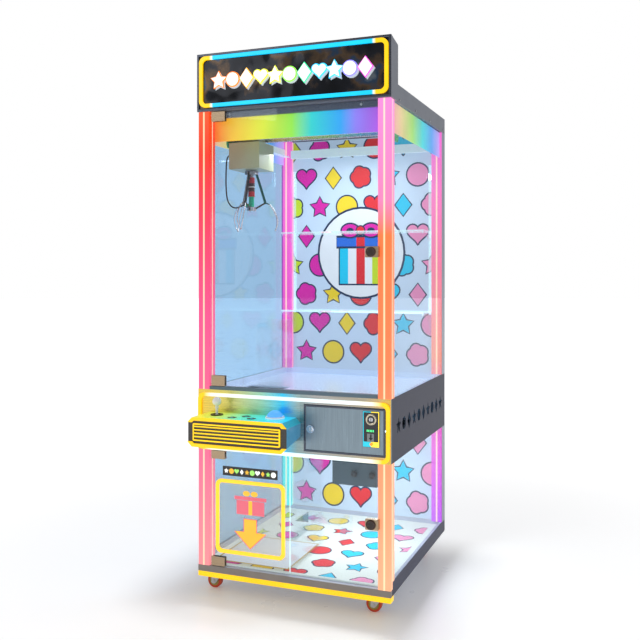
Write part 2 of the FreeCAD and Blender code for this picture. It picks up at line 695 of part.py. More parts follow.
def lock_block(z):
    block = fuse([rounded(307, 358, -18, -0.5, z - 20, z + 20, 3),
                  box(309, 343, -0.5, DOOR_D, z - 16, z + 16)])
    return block.cut(cyl(329, -20, z, 13 + RUNNING, 16, Y))


def upper_door():
    low, top = SILL_TOP + 2, POST_TOP - 2
    glass = door_glass(low + 4, top - 4)
    fittings = group([
        patch(low, low + 41, low + 4, top - 4, low - 10),
        patch(top - 38, top, low + 4, top - 4, top - 4),
        lock_block(1359),
    ])
    return glass, fittings, lock_barrel(329, -24, 1359, 13, 19)


def lower_door():
    x0, x1, z0, z1 = FLAP
    low, top = BASE_FRONT_TOP + 3, MID_BOTTOM - 3
    glass = door_glass(low + 4, top - 4)
    glass = glass.cut(box(x0 - FLAP_GAP, x1 + FLAP_GAP, 0, 20, z0 - FLAP_GAP, z1 + FLAP_GAP))
    fittings = group([
        patch(low, low + 36, low + 4, top - 4, low - 10),
        patch(top - 32, top, low + 4, top - 4, top - 4),
        lock_block(359),
    ])
    return glass, fittings, lock_barrel(329, -24, 359, 13, 19)


def prize_flap():
    x0, x1, z0, z1 = FLAP
    half = DOOR_GLASS / 2
    plate = box(x0, x1, DOOR_D, DOOR_D + DOOR_GLASS, z0, z1 - half)
    hinge_edge = cyl(x0, DOOR_D + half, z1 - half, half, x1 - x0, X)
    panel = fuse([plate, hinge_edge])
    light = frame_xz(x0 + 0.5, x1 - 0.5, z0 + 1, z1 - 1, 13, 24, DOOR_D - 9, DOOR_D)
    return group([panel, light])


# ---------------------------------------------------------------- crane
def rack(d0, d1):
    """A bridge rail with rack teeth along its underside."""
    z0, z1 = BRIDGE_RAIL_Z
    pitch = 8.0
    count = int(684 / pitch)
    outline = [(346.0, z1), (-346.0, z1), (-346.0, z0 + 4)]
    for k in range(count):
        x = -342.0 + pitch * k
        outline += [(x, z0 + 4), (x + 1.5, z0), (x + 4.5, z0), (x + 6, z0 + 4)]
    outline.append((346.0, z0 + 4))
    return plate_xz(outline, d0, d1)


def bridge():
    d = CLAW[1]
    parts = [rack(d - 50, d - 38), rack(d + 38, d + 50)]
    for side in (-1, 1):
        truck = plate_dz([(d - 66, 1862), (d - 66, 1812), (d - 56, 1800), (d + 56, 1800),
                          (d + 66, 1812), (d + 66, 1862)], *sorted((side * 342.0, side * 350.0)))
        shoe = box(*sorted((side * 350.0, side * 378.0)), d - 55, d + 55, RAIL_Z + 3.3, 1858)
        parts += [truck, shoe]
    return fuse(parts)


def carriage():
    x, d = CLAW
    half_x, half_d = HOUSING_HALF
    z0, z1 = HOUSING_Z
    wall = 2.5
    case = box(x - half_x, x + half_x, d - half_d, d + half_d, z0, z1)
    case = case.cut(box(x - half_x + wall, x + half_x - wall, d - half_d + wall, d + half_d - wall,
                        z0 + wall, z1 - wall))
    case = case.cut(cyl(x, d, z0 - 1, 7, 6))
    parts = [case,
             box(x - 50, x + 50, d - 28, d + 28, z1, BRIDGE_RAIL_Z[1] + 4),
             box(x - 54, x + 54, d - 52, d + 52, BRIDGE_RAIL_Z[1] + 0.4, BRIDGE_RAIL_Z[1] + 4)]
    hanger_rear = d + 2 * DRUM_R + 13
    for side in (-1, 1):
        near, far = sorted((x + side * 30.0, x + side * 33.0))
        parts.append(box(near, far, d + 10, hanger_rear, DRUM_Z - 12, z1 - wall))
    parts.append(around(cyl(x + 66, d, CABLE_TOP[1], 7, CABLE_TOP[0] - 66, X), CABLE_ANGLE))
    body = fuse(parts)
    return body.cut(cyl(x - 40, d + DRUM_R + 1.5, DRUM_Z, 4 + RUNNING, 80, X))


def hoist_drum():
    x, d = CLAW
    centre = d + DRUM_R + 1.5
    return fuse([cyl(x - 12, centre, DRUM_Z, DRUM_R, 24, X), cyl(x - 15, centre, DRUM_Z, 26, 3, X),
                 cyl(x + 12, centre, DRUM_Z, 26, 3, X), cyl(x - 36, centre, DRUM_Z, 4, 72, X)])


def hoist_string():
    eye_top = PRONG_PIVOT[1] + 12
    return cyl(CLAW[0], CLAW[1], eye_top, STRING_R, DRUM_Z - eye_top)


def claw_slots(inner, z0, z1):
    """Three radial slots, open outwards, for the arms or the links."""
    x, d = CLAW
    slot = box(x + inner, x + 40, d - PRONG_SLOT, d + PRONG_SLOT, z0, z1)
    return group([around(slot, angle) for angle in PRONG_ANGLES])


def claw_body():
    """Collar for the arms, solenoid case, coil tube, the eye on top and the cable's gland."""
    x, d = CLAW
    r, z = PRONG_PIVOT
    collar = cyl(x, d, z - 7, 28, 14).cut(claw_slots(14, z - 10, z + 10))
    pins = [around(cyl(x + r, d - 8, z, 2, 16, Y), angle) for angle in PRONG_ANGLES]
    eye = tube(x, d - 2, z + 9, 4, 1.8, 4, Y).common(box(x - 5, x + 5, d - 5, d + 5, z + 7, z + 12))
    low, top = SOLENOID_Z
    neck = cyl(x, d, top, 9, z - 7 - top)
    middle = (low + top) / 2
    solenoid = [cyl(x, d, low, SOLENOID_R, top - low), cyl(x, d, middle - 2, SOLENOID_R + 1, 4),
                cyl(x, d, low, SOLENOID_R + 1.5, 3)]
    coil = cyl(x, d, COIL_Z[0], COIL_R, COIL_Z[1] - COIL_Z[0])
    gland = around(cyl(x + 9, d, CABLE_END[1], 6, CABLE_END[0] - 9, X), CABLE_ANGLE)
    body = fuse([collar, neck, coil, gland, eye] + solenoid + pins)
    return body.cut(cyl(x, d, COIL_Z[0] - 2, PLUNGER_R + RUNNING, 50))


def claw_plunger():
    x, d = CLAW
    z = PLUNGER_PIN[1]
    hub = cyl(x, d, z - 8, 18, 16).cut(claw_slots(PLUNGER_R, z - 10, z + 10))
    return fuse([hub, cyl(x, d, z + 8, PLUNGER_R, 40)])


def bar(start, end, half_width, half_thick):
    """A flat bar in the XZ plane of the claw, between two (radius, z) points, with round ends."""
    x, d = CLAW
    run = math.hypot(end[0] - start[0], end[1] - start[1])
    nx = (end[1] - start[1]) / run * half_width
    nz = -(end[0] - start[0]) / run * half_width
    points = [(start[0] + nx, start[1] + nz), (end[0] + nx, end[1] + nz),
              (end[0] - nx, end[1] - nz), (start[0] - nx, start[1] - nz)]
    flat = plate_xz([(x + r, z) for r, z in points], d - half_thick, d + half_thick)
    ends = [cyl(x + r, d - half_thick, z, half_width, 2 * half_thick, Y) for r, z in (start, end)]
    return [flat] + ends


def claw_prong(angle):
    """A flat arm, and the finger: a closed loop of bent wire that curves out and in again."""
    x, d = CLAW
    wire_r = 2.0
    tip_r, tip_z = 101.0, 1461.0
    loop = [(58.0, 3.0, 1575.5), (77.0, 8.0, 1567.5), (93.0, 13.0, 1546.0), (104.0, 14.5, 1523.0),
            (109.5, 13.0, 1501.0), (108.0, 8.0, 1479.0), (tip_r + 0.5, 2.0, tip_z + 1)]
    parts = bar(PRONG_PIVOT, ELBOW, 5, 3)
    for side in (-1, 1):
        wire, _, _ = swept([place(x + r, d + side * out, z) for r, out, z in loop], wire_r)
        parts.append(wire)
    parts.append(Part.makeSphere(4.2, place(x + tip_r, d, tip_z)))
    prong = fuse(parts)
    r, z = PRONG_PIVOT
    pivot_hole = cyl(x + r, d - 5, z, 2 + RUNNING, 10, Y)
    r, z = ELBOW
    fork_gap = cyl(x + r, d - 1.4, z, 9, 2.8, Y)
    pin_hole = cyl(x + r, d - 6, z, 1.6 + RUNNING, 12, Y)
    return around(prong.cut(group([pivot_hole, fork_gap, pin_hole])), angle)


def claw_link(angle):
    """The strut from the arm's elbow to the plunger's hub, with its elbow pin."""
    x, d = CLAW
    pin = cyl(x + ELBOW[0], d - 2.8, ELBOW[1], 1.6, 5.6, Y)
    return around(fuse(bar(ELBOW, PLUNGER_PIN, 3.5, 1.1) + [pin]), angle)


def claw_cable():
    """The coil's cable: out of the carriage's side, hanging down past it, and in to the coil."""
    x, d = CLAW
    route = [CABLE_TOP, (93.0, 1775.0), (103.0, 1768.0), (107.0, 1752.0), (109.0, 1722.0),
             (110.0, 1690.0), (110.0, 1650.0), (108.0, 1612.0), (102.0, 1581.0), (87.0, 1559.0),
             (66.0, 1552.0), (48.0, 1559.0), (36.0, 1565.0), CABLE_END]
    solid, length, tightest = swept([place(x + r, d, z) for r, z in route], CABLE_R)
    print("cable length %.1f, tightest arc %.1f, volume ratio %.4f"
          % (length, tightest, solid.Volume / (math.pi * CABLE_R ** 2 * length)))
    return around(solid, CABLE_ANGLE)


# ---------------------------------------------------------------- build
def main():
    os.makedirs("parts", exist_ok=True)
    plain = [base_frame, lower_floor_panel, neon_tubes, corner_posts, side_glasses, back_panels,
             mid_cabinet, playfield_floor, front_fascia, console_housing, console_grille,
             control_bezels, coin_box, cash_box, control_electronics, power_inlet, speaker,
             marquee_housing, marquee_face, roof_panel, light_bands, gantry_frame, prize_chute,
             display_shelves, screws, prize_flap, coin_door, coin_mech,
             joystick_gimbal, joystick, start_button, bridge, carriage, hoist_drum, hoist_string,
             claw_cable, claw_body, claw_plunger]
    for make in plain:
        write(make.__name__, make())
    for tag, door in (("upper", upper_door), ("lower", lower_door)):
        glass, fittings, barrel = door()
        write(tag + "_door_glass", glass)
        write(tag + "_door_fittings", fittings)
        write(tag + "_lock_barrel", barrel)
    write("coin_lock_barrel", lock_barrel(COIN_LOCK[0], -8, COIN_LOCK[1], COIN_LOCK_R, 24))
    write("reject_button", cyl(REJECT[0], -9, REJECT[1], 6, 13, Y))
    for k, angle in enumerate(PRONG_ANGLES, 1):
        write("claw_prong_%d" % k, claw_prong(angle))
        write("claw_link_%d" % k, claw_link(angle))
    for tag, x, d in castor_places():
        write("castor_fork_" + tag, castor_fork(x, d))
        write("castor_wheel_" + tag, castor_wheel(x, d))


main()
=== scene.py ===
"""Looks of the claw crane machine: materials, printed artwork, cords, floor, light and camera.

Metres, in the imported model's frame: +X right, +Y to the back, +Z up, origin on the floor.
"""

import math

import bmesh
import bpy
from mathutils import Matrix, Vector


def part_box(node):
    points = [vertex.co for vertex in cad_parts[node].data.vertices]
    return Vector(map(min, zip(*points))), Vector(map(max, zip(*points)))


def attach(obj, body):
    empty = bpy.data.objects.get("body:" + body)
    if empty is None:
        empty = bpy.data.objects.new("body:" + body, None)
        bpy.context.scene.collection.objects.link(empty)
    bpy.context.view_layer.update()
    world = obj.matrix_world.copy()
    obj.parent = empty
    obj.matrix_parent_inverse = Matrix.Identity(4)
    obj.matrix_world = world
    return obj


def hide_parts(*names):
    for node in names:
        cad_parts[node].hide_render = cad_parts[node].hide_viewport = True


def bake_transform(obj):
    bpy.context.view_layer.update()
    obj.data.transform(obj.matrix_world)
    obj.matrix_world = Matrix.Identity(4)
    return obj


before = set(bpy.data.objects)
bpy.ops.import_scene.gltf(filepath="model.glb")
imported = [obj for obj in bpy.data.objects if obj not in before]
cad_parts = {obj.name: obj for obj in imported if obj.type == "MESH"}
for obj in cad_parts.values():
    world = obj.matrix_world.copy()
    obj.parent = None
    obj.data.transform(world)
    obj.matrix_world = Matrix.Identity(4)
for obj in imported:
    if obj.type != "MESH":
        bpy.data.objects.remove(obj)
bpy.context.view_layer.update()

BLACK = (0.004, 0.004, 0.004)
NAVY = (0.01, 0.03, 0.10)
WHITE = (0.92, 0.95, 0.98)
YELLOW = (1.0, 0.72, 0.02)
LIME = (0.62, 0.80, 0.02)
CYAN = (0.0, 0.62, 0.90)
BLUE = (0.02, 0.16, 0.72)
MAGENTA = (0.82, 0.01, 0.42)
RED = (0.85, 0.02, 0.03)
PINK = (0.95, 0.30, 0.55)


# ---------------------------------------------------------------- node helpers
class Shader:
    """A Principled material and short ways to wire nodes into it."""

    def __init__(self, name, rough=0.5, metal=0.0):
        self.material = bpy.data.materials.new(name)
        self.material.use_nodes = True
        self.tree = self.material.node_tree
        self.bsdf = self.tree.nodes["Principled BSDF"]
        self.output = self.tree.nodes["Material Output"]
        self.bsdf.inputs["Roughness"].default_value = rough
        self.bsdf.inputs["Metallic"].default_value = metal
        self.coords = self.node("ShaderNodeTexCoord").outputs["Object"]
        split = self.node("ShaderNodeSeparateXYZ")
        self.link(self.coords, split.inputs[0])
        self.x, self.y, self.z = split.outputs

    def node(self, kind, **values):
        made = self.tree.nodes.new(kind)
        for key, value in values.items():
            setattr(made, key, value)
        return made

    def link(self, source, target):
        self.tree.links.new(source, target)

    def feed(self, socket, value):
        if isinstance(value, bpy.types.NodeSocket):
            self.link(value, socket)
        elif isinstance(value, tuple):
            socket.default_value = (*value, 1.0)
        else:
            socket.default_value = value

    def math(self, operation, a, b=0.0):
        made = self.node("ShaderNodeMath", operation=operation)
        self.feed(made.inputs[0], a)
        self.feed(made.inputs[1], b)
        return made.outputs[0]

    def over(self, a, limit):
        return self.math("GREATER_THAN", a, limit)

    def both(self, a, b):
        return self.math("MULTIPLY", a, b)

    def mix(self, factor, a, b, blend="MIX"):
        made = self.node("ShaderNodeMix", data_type="RGBA", blend_type=blend)
        self.feed(made.inputs["Factor"], factor)
        self.feed(made.inputs[6], a)
        self.feed(made.inputs[7], b)
        return made.outputs[2]

    def ramp(self, value, low, high, stops, kind="LINEAR"):
        """Colours along value, at stops given in value's own units."""
        spread = self.node("ShaderNodeMapRange")
        self.feed(spread.inputs["Value"], value)
        spread.inputs["From Min"].default_value = low
        spread.inputs["From Max"].default_value = high
        made = self.node("ShaderNodeValToRGB")
        made.color_ramp.interpolation = kind
        elements = made.color_ramp.elements
        while len(elements) < len(stops):
            elements.new(0.5)
        for element, (at, colour) in zip(elements, stops):
            element.position = (at - low) / (high - low)
            element.color = (*colour, 1.0)
        self.link(spread.outputs[0], made.inputs[0])
        return made.outputs["Color"]

    def noise(self, scale, detail=3.0, stretch=(1.0, 1.0, 1.0)):
        mapping = self.node("ShaderNodeMapping")
        mapping.inputs["Scale"].default_value = stretch
        self.link(self.coords, mapping.inputs["Vector"])
        made = self.node("ShaderNodeTexNoise")
        made.inputs["Scale"].default_value = scale
        made.inputs["Detail"].default_value = detail
        self.link(mapping.outputs[0], made.inputs["Vector"])
        return made.outputs["Fac"]

    def spread(self, value, low, high):
        made = self.node("ShaderNodeMapRange")
        self.link(value, made.inputs["Value"])
        made.inputs["From Min"].default_value = 0.3
        made.inputs["From Max"].default_value = 0.7
        made.inputs["To Min"].default_value = low
        made.inputs["To Max"].default_value = high
        return made.outputs[0]

    def colour(self, value, mottle=0.08, scale=14.0, stretch=(1.0, 1.0, 1.0)):
        """Base colour, a little lighter and darker from place to place."""
        shade = self.spread(self.noise(scale, 4.0, stretch), 1.0 - mottle, 1.0)
        grey = self.node("ShaderNodeCombineColor")
        for channel in grey.inputs:
            self.link(shade, channel)
        self.link(self.mix(1.0, value, grey.outputs[0], "MULTIPLY"), self.bsdf.inputs["Base Color"])
        return self

    def surface(self, rough, vary=0.08, scale=60.0, bump=0.0, stretch=(1.0, 1.0, 1.0)):
        grain = self.noise(scale, 3.0, stretch)
        self.link(self.spread(grain, max(rough - vary, 0.0), rough + vary), self.bsdf.inputs["Roughness"])
        if bump:
            made = self.node("ShaderNodeBump")
            made.inputs["Strength"].default_value = bump
            made.inputs["Distance"].default_value = 0.001
            self.link(grain, made.inputs["Height"])
            self.link(made.outputs[0], self.bsdf.inputs["Normal"])
        return self

    def glow(self, colour, strength):
        self.feed(self.bsdf.inputs["Emission Color"], colour)
        self.feed(self.bsdf.inputs["Emission Strength"], strength)
        return self

    def see_through(self, clear, edge, shade=(1.0, 1.0, 1.0)):
        """Mixes in transparency: clear is what shows face on, edge what is added at a slant."""
        slant = self.node("ShaderNodeLayerWeight")
        slant.inputs["Blend"].default_value = 0.5
        grazing = self.math("MULTIPLY", self.math("POWER", slant.outputs["Facing"], 4.0), edge)
        mixer = self.node("ShaderNodeMixShader")
        self.link(self.math("ADD", grazing, clear), mixer.inputs[0])
        through = self.node("ShaderNodeBsdfTransparent")
        self.feed(through.inputs[0], shade)
        self.link(through.outputs[0], mixer.inputs[1])
        self.link(self.bsdf.outputs[0], mixer.inputs[2])
        self.link(mixer.outputs[0], self.output.inputs["Surface"])
        return self


# ---------------------------------------------------------------- plain materials
def paint(name, colour, rough=0.4, metal=0.0, bump=0.05, mottle=0.08):
    made = Shader(name, rough, metal).colour(colour, mottle).surface(rough, 0.07, 400.0, bump)
    made.bsdf.inputs["Coat Weight"].default_value = 0.08
    made.bsdf.inputs["Coat Roughness"].default_value = 0.2
    made.bsdf.inputs["Specular IOR Level"].default_value = 0.35
    return made.material


def brushed(name, colour, rough=0.3, stretch=(2.0, 2.0, 220.0)):
    made = Shader(name, rough, 1.0).colour(colour, 0.16, 3.0, stretch)
    return made.surface(rough, 0.1, 5.0, 0.12, stretch).material


def polished(name, colour):
    return Shader(name, 0.2, 1.0).colour(colour, 0.1, 60.0).surface(0.2, 0.05, 200.0).material


def plastic(name, colour, rough=0.3, bump=0.04):
    made = Shader(name, rough).colour(colour, 0.06, 30.0).surface(rough, 0.06, 500.0, bump)
    made.bsdf.inputs["Coat Weight"].default_value = 0.15
    return made.material


def lit(name, colour, strength, rough=0.35):
    made = Shader(name, rough).colour(colour, 0.05, 20.0).surface(rough, 0.05, 120.0, 0.03)
    return made.glow(colour, strength).material


def printed(name, colour):
    """Printed film, lit a little by the lamps inside."""
    made = Shader(name, 0.45)
    made.colour(tuple(channel * 0.6 for channel in colour), 0.07, 9.0).surface(0.45, 0.06, 150.0, 0.03)
    made.bsdf.inputs["Specular IOR Level"].default_value = 0.25
    return made.glow(colour, 0.36).material


def glass(name, tint, clear=0.03):
    """Panes, a little blue; the left panes get a darker blue and more gloss at a slant, a painted reflection
    of the far wall.
    """
    made = Shader(name, 0.02, 0.9).colour(tint, 0.03, 3.0).surface(0.02, 0.01, 4.0)
    # Painted reflection: the left panes (x below -0.38) are tinted darker blue and made glossier.
    left = made.over(-0.38, made.x)
    shade = made.mix(left, (0.93, 0.965, 0.99), (0.60, 0.75, 0.88))
    edge = made.math("ADD", 0.2, made.math("MULTIPLY", left, 0.2))
    return made.see_through(clear, edge, shade).material


# ---------------------------------------------------------------- special materials
def tube_material():
    """Light tubes: yellow, but cyan along the marquee and white along the fascia."""
    made = Shader("tube_light", 0.3)
    amber = (1.0, 0.60, 0.0)
    white = (1.0, 0.95, 0.75)
    aqua = (0.0, 0.60, 1.0)
    marquee = made.ramp(made.x, -0.41, 0.41, [
        (-0.41, amber), (-0.345, amber), (-0.338, white), (-0.330, aqua),
        (0.330, aqua), (0.338, white), (0.345, amber)])
    fascia = made.ramp(made.x, -0.41, 0.41, [
        (-0.41, amber), (-0.37, amber), (-0.34, white), (-0.05, (0.75, 0.95, 1.0)),
        (0.25, (0.9, 1.0, 1.0)), (0.33, white), (0.37, amber)])
    in_fascia = made.both(made.over(made.z, 0.5), made.over(made.y, -0.42))
    colour = made.mix(in_fascia, amber, fascia)
    colour = made.mix(made.over(made.z, 1.5), colour, marquee)
    flicker = made.spread(made.noise(9.0, 2.0), 0.90, 1.05)
    made.colour(made.mix(0.6, colour, (0.0, 0.0, 0.0)), 0.04).surface(0.3, 0.06, 200.0, 0.03)
    return made.glow(colour, flicker).material


def flap_material():
    """The prize flap: a light tube round a clear plate."""
    made = Shader("flap_frame", 0.1)
    plate = made.over(made.y, -0.3595)
    made.colour((0.55, 0.36, 0.02), 0.05).surface(0.2, 0.05, 200.0)
    made.glow((1.0, 0.60, 0.02), made.math("MULTIPLY", made.math("SUBTRACT", 1.0, plate), 0.95))
    mixer = made.node("ShaderNodeMixShader")
    made.link(made.math("SUBTRACT", 1.0, made.math("MULTIPLY", plate, 0.93)), mixer.inputs[0])
    made.link(made.node("ShaderNodeBsdfTransparent").outputs[0], mixer.inputs[1])
    made.link(made.bsdf.outputs[0], mixer.inputs[2])
    made.link(mixer.outputs[0], made.output.inputs["Surface"])
    return made.material


def grille_material():
    """Console grille: gilt slats, each with a lit lower edge, in a lit rim."""
    made = Shader("grille_gilt", 0.3, 0.4)
    height = made.math("SUBTRACT", made.z, 0.6555)
    band = made.math("MULTIPLY", made.math("FRACT", made.math("DIVIDE", height, 0.013)), 0.013)
    lit_edge = made.math("LESS_THAN", band, 0.0035)
    rim = made.math("MAXIMUM", made.over(made.z, 0.703), made.over(0.645, made.z))
    rim = made.math("MAXIMUM", rim, made.over(made.math("ABSOLUTE", made.math("ADD", made.x, 0.164)), 0.178))
    shine = made.math("MAXIMUM", lit_edge, rim)
    made.colour(made.mix(shine, (0.42, 0.33, 0.03), (0.8, 0.45, 0.0)), 0.12, 40.0)
    made.surface(0.3, 0.08, 200.0, 0.04)
    return made.glow((1.0, 0.66, 0.02), made.math("ADD", made.math("MULTIPLY", shine, 0.75), 0.12)).material


def fascia_material():
    """Brushed steel, tinted yellow, green and cyan by painted light where the console's lamps shine on it."""
    made = Shader("fascia_steel", 0.28, 1.0)
    # Painted light: the console lamps' colours laid into the steel's base colour along x.
    painted_lamp_light = made.ramp(made.x, -0.4, 0.4, [
        (-0.4, (0.80, 0.55, 0.08)), (-0.27, (0.62, 0.56, 0.16)), (-0.12, (0.30, 0.60, 0.45)),
        (-0.03, (0.05, 0.55, 0.85)), (0.03, (0.30, 0.42, 0.42)), (0.1, (0.42, 0.42, 0.42)),
        (0.30, (0.50, 0.44, 0.33)), (0.36, (0.72, 0.50, 0.22)), (0.4, (0.80, 0.52, 0.10))])
    made.colour(painted_lamp_light, 0.18, 3.0, (2.0, 2.0, 160.0)).surface(0.28, 0.1, 5.0, 0.1, (2.0, 2.0, 160.0))
    # A faint painted glow on the fascia's upper left, next to the lit deck.
    lamp = made.both(made.over(0.04, made.x), made.over(made.z, 0.69))
    return made.glow(painted_lamp_light, made.math("MULTIPLY", lamp, 0.16)).material


def column_material():
    """Frosted light columns: colours run up each one, with a bright line down each face."""
    made = Shader("light_column", 0.3)
    top = 1.93
    front_left = made.ramp(made.z, 0.0, top, [
        (0.1, (1.0, 0.30, 0.32)), (0.55, (1.0, 0.16, 0.30)), (1.1, (1.0, 0.08, 0.26)),
        (1.5, (1.0, 0.04, 0.10)), (1.75, (1.0, 0.03, 0.01)), (1.92, (1.0, 0.08, 0.01))])
    front_right = made.ramp(made.z, 0.0, top, [
        (0.1, (1.0, 0.48, 0.26)), (0.55, (1.0, 0.34, 0.16)), (0.90, (1.0, 0.22, 0.08)),
        (1.42, (1.0, 0.20, 0.05)), (1.55, (1.0, 0.24, 0.50)), (1.92, (0.95, 0.26, 0.68))])
    rear_left = made.ramp(made.z, 0.0, top, [
        (0.1, (0.05, 0.80, 0.80)), (0.55, (0.10, 0.85, 0.75)), (0.85, (0.90, 0.05, 0.55)),
        (1.9, (1.0, 0.16, 0.62))])
    rear_right = made.ramp(made.z, 0.0, top, [
        (0.1, (0.50, 0.06, 0.85)), (0.55, (0.85, 0.06, 0.60)), (0.9, (1.0, 0.30, 0.20)),
        (1.3, (1.0, 0.20, 0.34)), (1.9, (1.0, 0.18, 0.66))])
    right = made.over(made.x, 0.0)
    rear = made.over(made.y, 0.1)
    colour = made.mix(rear, made.mix(right, front_left, front_right), made.mix(right, rear_left, rear_right))
    facing = made.node("ShaderNodeSeparateXYZ")
    made.link(made.node("ShaderNodeNewGeometry").outputs["Normal"], facing.inputs[0])
    sideways = made.over(made.math("ABSOLUTE", facing.outputs[0]), 0.5)
    from_middle_x = made.math("ABSOLUTE", made.math("SUBTRACT", made.math("ABSOLUTE", made.x), 0.375))
    centre_y = made.math("ADD", -0.34, made.math("MULTIPLY", rear, 0.815))
    from_middle_y = made.math("ABSOLUTE", made.math("SUBTRACT", made.y, centre_y))
    nearer = made.node("ShaderNodeMix", data_type="FLOAT")
    made.feed(nearer.inputs["Factor"], sideways)
    made.feed(nearer.inputs[2], from_middle_x)
    made.feed(nearer.inputs[3], from_middle_y)
    core = made.node("ShaderNodeMapRange", interpolation_type="SMOOTHSTEP")
    made.link(nearer.outputs[0], core.inputs["Value"])
    core.inputs["From Min"].default_value = 0.0010
    core.inputs["From Max"].default_value = 0.0055
    core.inputs["To Min"].default_value = 0.8
    core.inputs["To Max"].default_value = 0.0
    lamp = made.mix(core.outputs[0], colour, (1.0, 0.74, 0.45))
    outer_side = made.both(made.over(made.math("ABSOLUTE", made.x), 0.3985), made.over(made.y, 0.44))
    bare = made.math("MAXIMUM", outer_side, made.over(made.y, 0.4985))
    body = made.mix(0.55, lamp, (0.0, 0.0, 0.0))
    made.colour(made.mix(bare, body, (0.30, 0.34, 0.42)), 0.05, 12.0).surface(0.35, 0.05, 80.0, 0.02)
    glow = made.math("ADD", 0.78, made.math("MULTIPLY", core.outputs[0], 0.35))
    strength = made.math("MULTIPLY", glow, made.math("SUBTRACT", 1.0, bare))
    return made.glow(lamp, strength).material


def band_material():
    """Rainbow bands: across the front by x, and along the sides by depth."""
    made = Shader("rainbow_band", 0.35)
    front = made.ramp(made.x, -0.35, 0.35, [
        (-0.35, (1.0, 0.16, 0.01)), (-0.28, (1.0, 0.50, 0.02)), (-0.13, (0.80, 0.85, 0.03)),
        (-0.01, (0.35, 0.90, 0.06)), (0.07, (0.02, 0.70, 0.65)), (0.19, (0.02, 0.42, 0.95)),
        (0.25, (0.30, 0.22, 0.90)), (0.34, (0.48, 0.10, 0.80))])
    side = made.ramp(made.y, -0.32, 0.45, [
        (-0.32, (1.0, 0.35, 0.40)), (-0.18, (1.0, 0.72, 0.30)), (-0.02, (0.50, 0.90, 0.15)),
        (0.14, (0.05, 0.82, 0.80)), (0.30, (0.10, 0.40, 0.95)), (0.44, (0.62, 0.40, 0.95))])
    colour = made.mix(made.over(made.math("ABSOLUTE", made.x), 0.37), front, side)
    glow = made.spread(made.noise(5.0, 2.0), 0.55, 0.80)
    dim = made.mix(0.5, colour, (0.0, 0.0, 0.0))
    return made.colour(dim, 0.05).surface(0.35, 0.05, 90.0, 0.02).glow(colour, glow).material


def foil_material():
    """The marquee's face: black mirror film, crumpled, with a painted sheen of warm, blue and pale patches in
    its colour.
    """
    made = Shader("marquee_film", 0.12, 0.6)
    cells = made.node("ShaderNodeTexVoronoi", feature="SMOOTH_F1")
    cells.inputs["Scale"].default_value = 16.0
    made.link(made.coords, cells.inputs["Vector"])
    # Painted sheen: the warm, blue and pale patches in the base colour stand for reflections on the film.
    colour = made.ramp(made.noise(7.0, 5.0), 0.35, 0.7, [
        (0.35, (0.004, 0.005, 0.008)), (0.5, (0.012, 0.014, 0.02)), (0.58, (0.09, 0.055, 0.03)),
        (0.64, (0.02, 0.05, 0.10)), (0.69, (0.13, 0.16, 0.19))])
    made.link(colour, made.bsdf.inputs["Base Color"])
    bump = made.node("ShaderNodeBump")
    bump.inputs["Strength"].default_value = 0.55
    bump.inputs["Distance"].default_value = 0.006
    made.link(cells.outputs["Distance"], bump.inputs["Height"])
    made.link(bump.outputs[0], made.bsdf.inputs["Normal"])
    return made.material


def console_material():
    """Console: a lit deck from lime to cyan, blue sides and a dark front."""
    made = Shader("console_paint", 0.3)
    deck = made.ramp(made.x, -0.37, 0.05, [
        (-0.37, (0.85, 0.78, 0.06)), (-0.27, (0.60, 0.85, 0.12)), (-0.17, (0.10, 0.82, 0.55)),
        (-0.05, (0.03, 0.72, 0.86)), (0.03, (0.02, 0.62, 0.95))])
    is_deck = made.over(made.z, 0.7292)
    is_front = made.over(-0.4972, made.y)
    side = made.mix(made.over(made.z, 0.709), (0.09, 0.42, 0.72), (0.04, 0.66, 0.92))
    colour = made.mix(is_front, made.mix(is_deck, side, deck), (0.05, 0.045, 0.04))
    made.colour(colour, 0.08, 20.0).surface(0.3, 0.06, 260.0, 0.04)
    return made.glow(deck, made.both(is_deck, 0.45)).material


def sheet_metal_material(name, outside, front, inside):
    """Painted sheet: one colour on the sides, one in front, and a paler one facing inwards."""
    made = Shader(name, 0.5)
    made.bsdf.inputs["Specular IOR Level"].default_value = 0.22
    inner = made.both(made.over(0.3975, made.math("ABSOLUTE", made.x)), made.over(made.y, -0.3605))
    inner = made.both(inner, made.over(0.4975, made.y))
    colour = made.mix(inner, made.mix(made.over(-0.35, made.y), outside, front), inside)
    return made.colour(colour, 0.1, 14.0).surface(0.5, 0.07, 400.0, 0.05).material


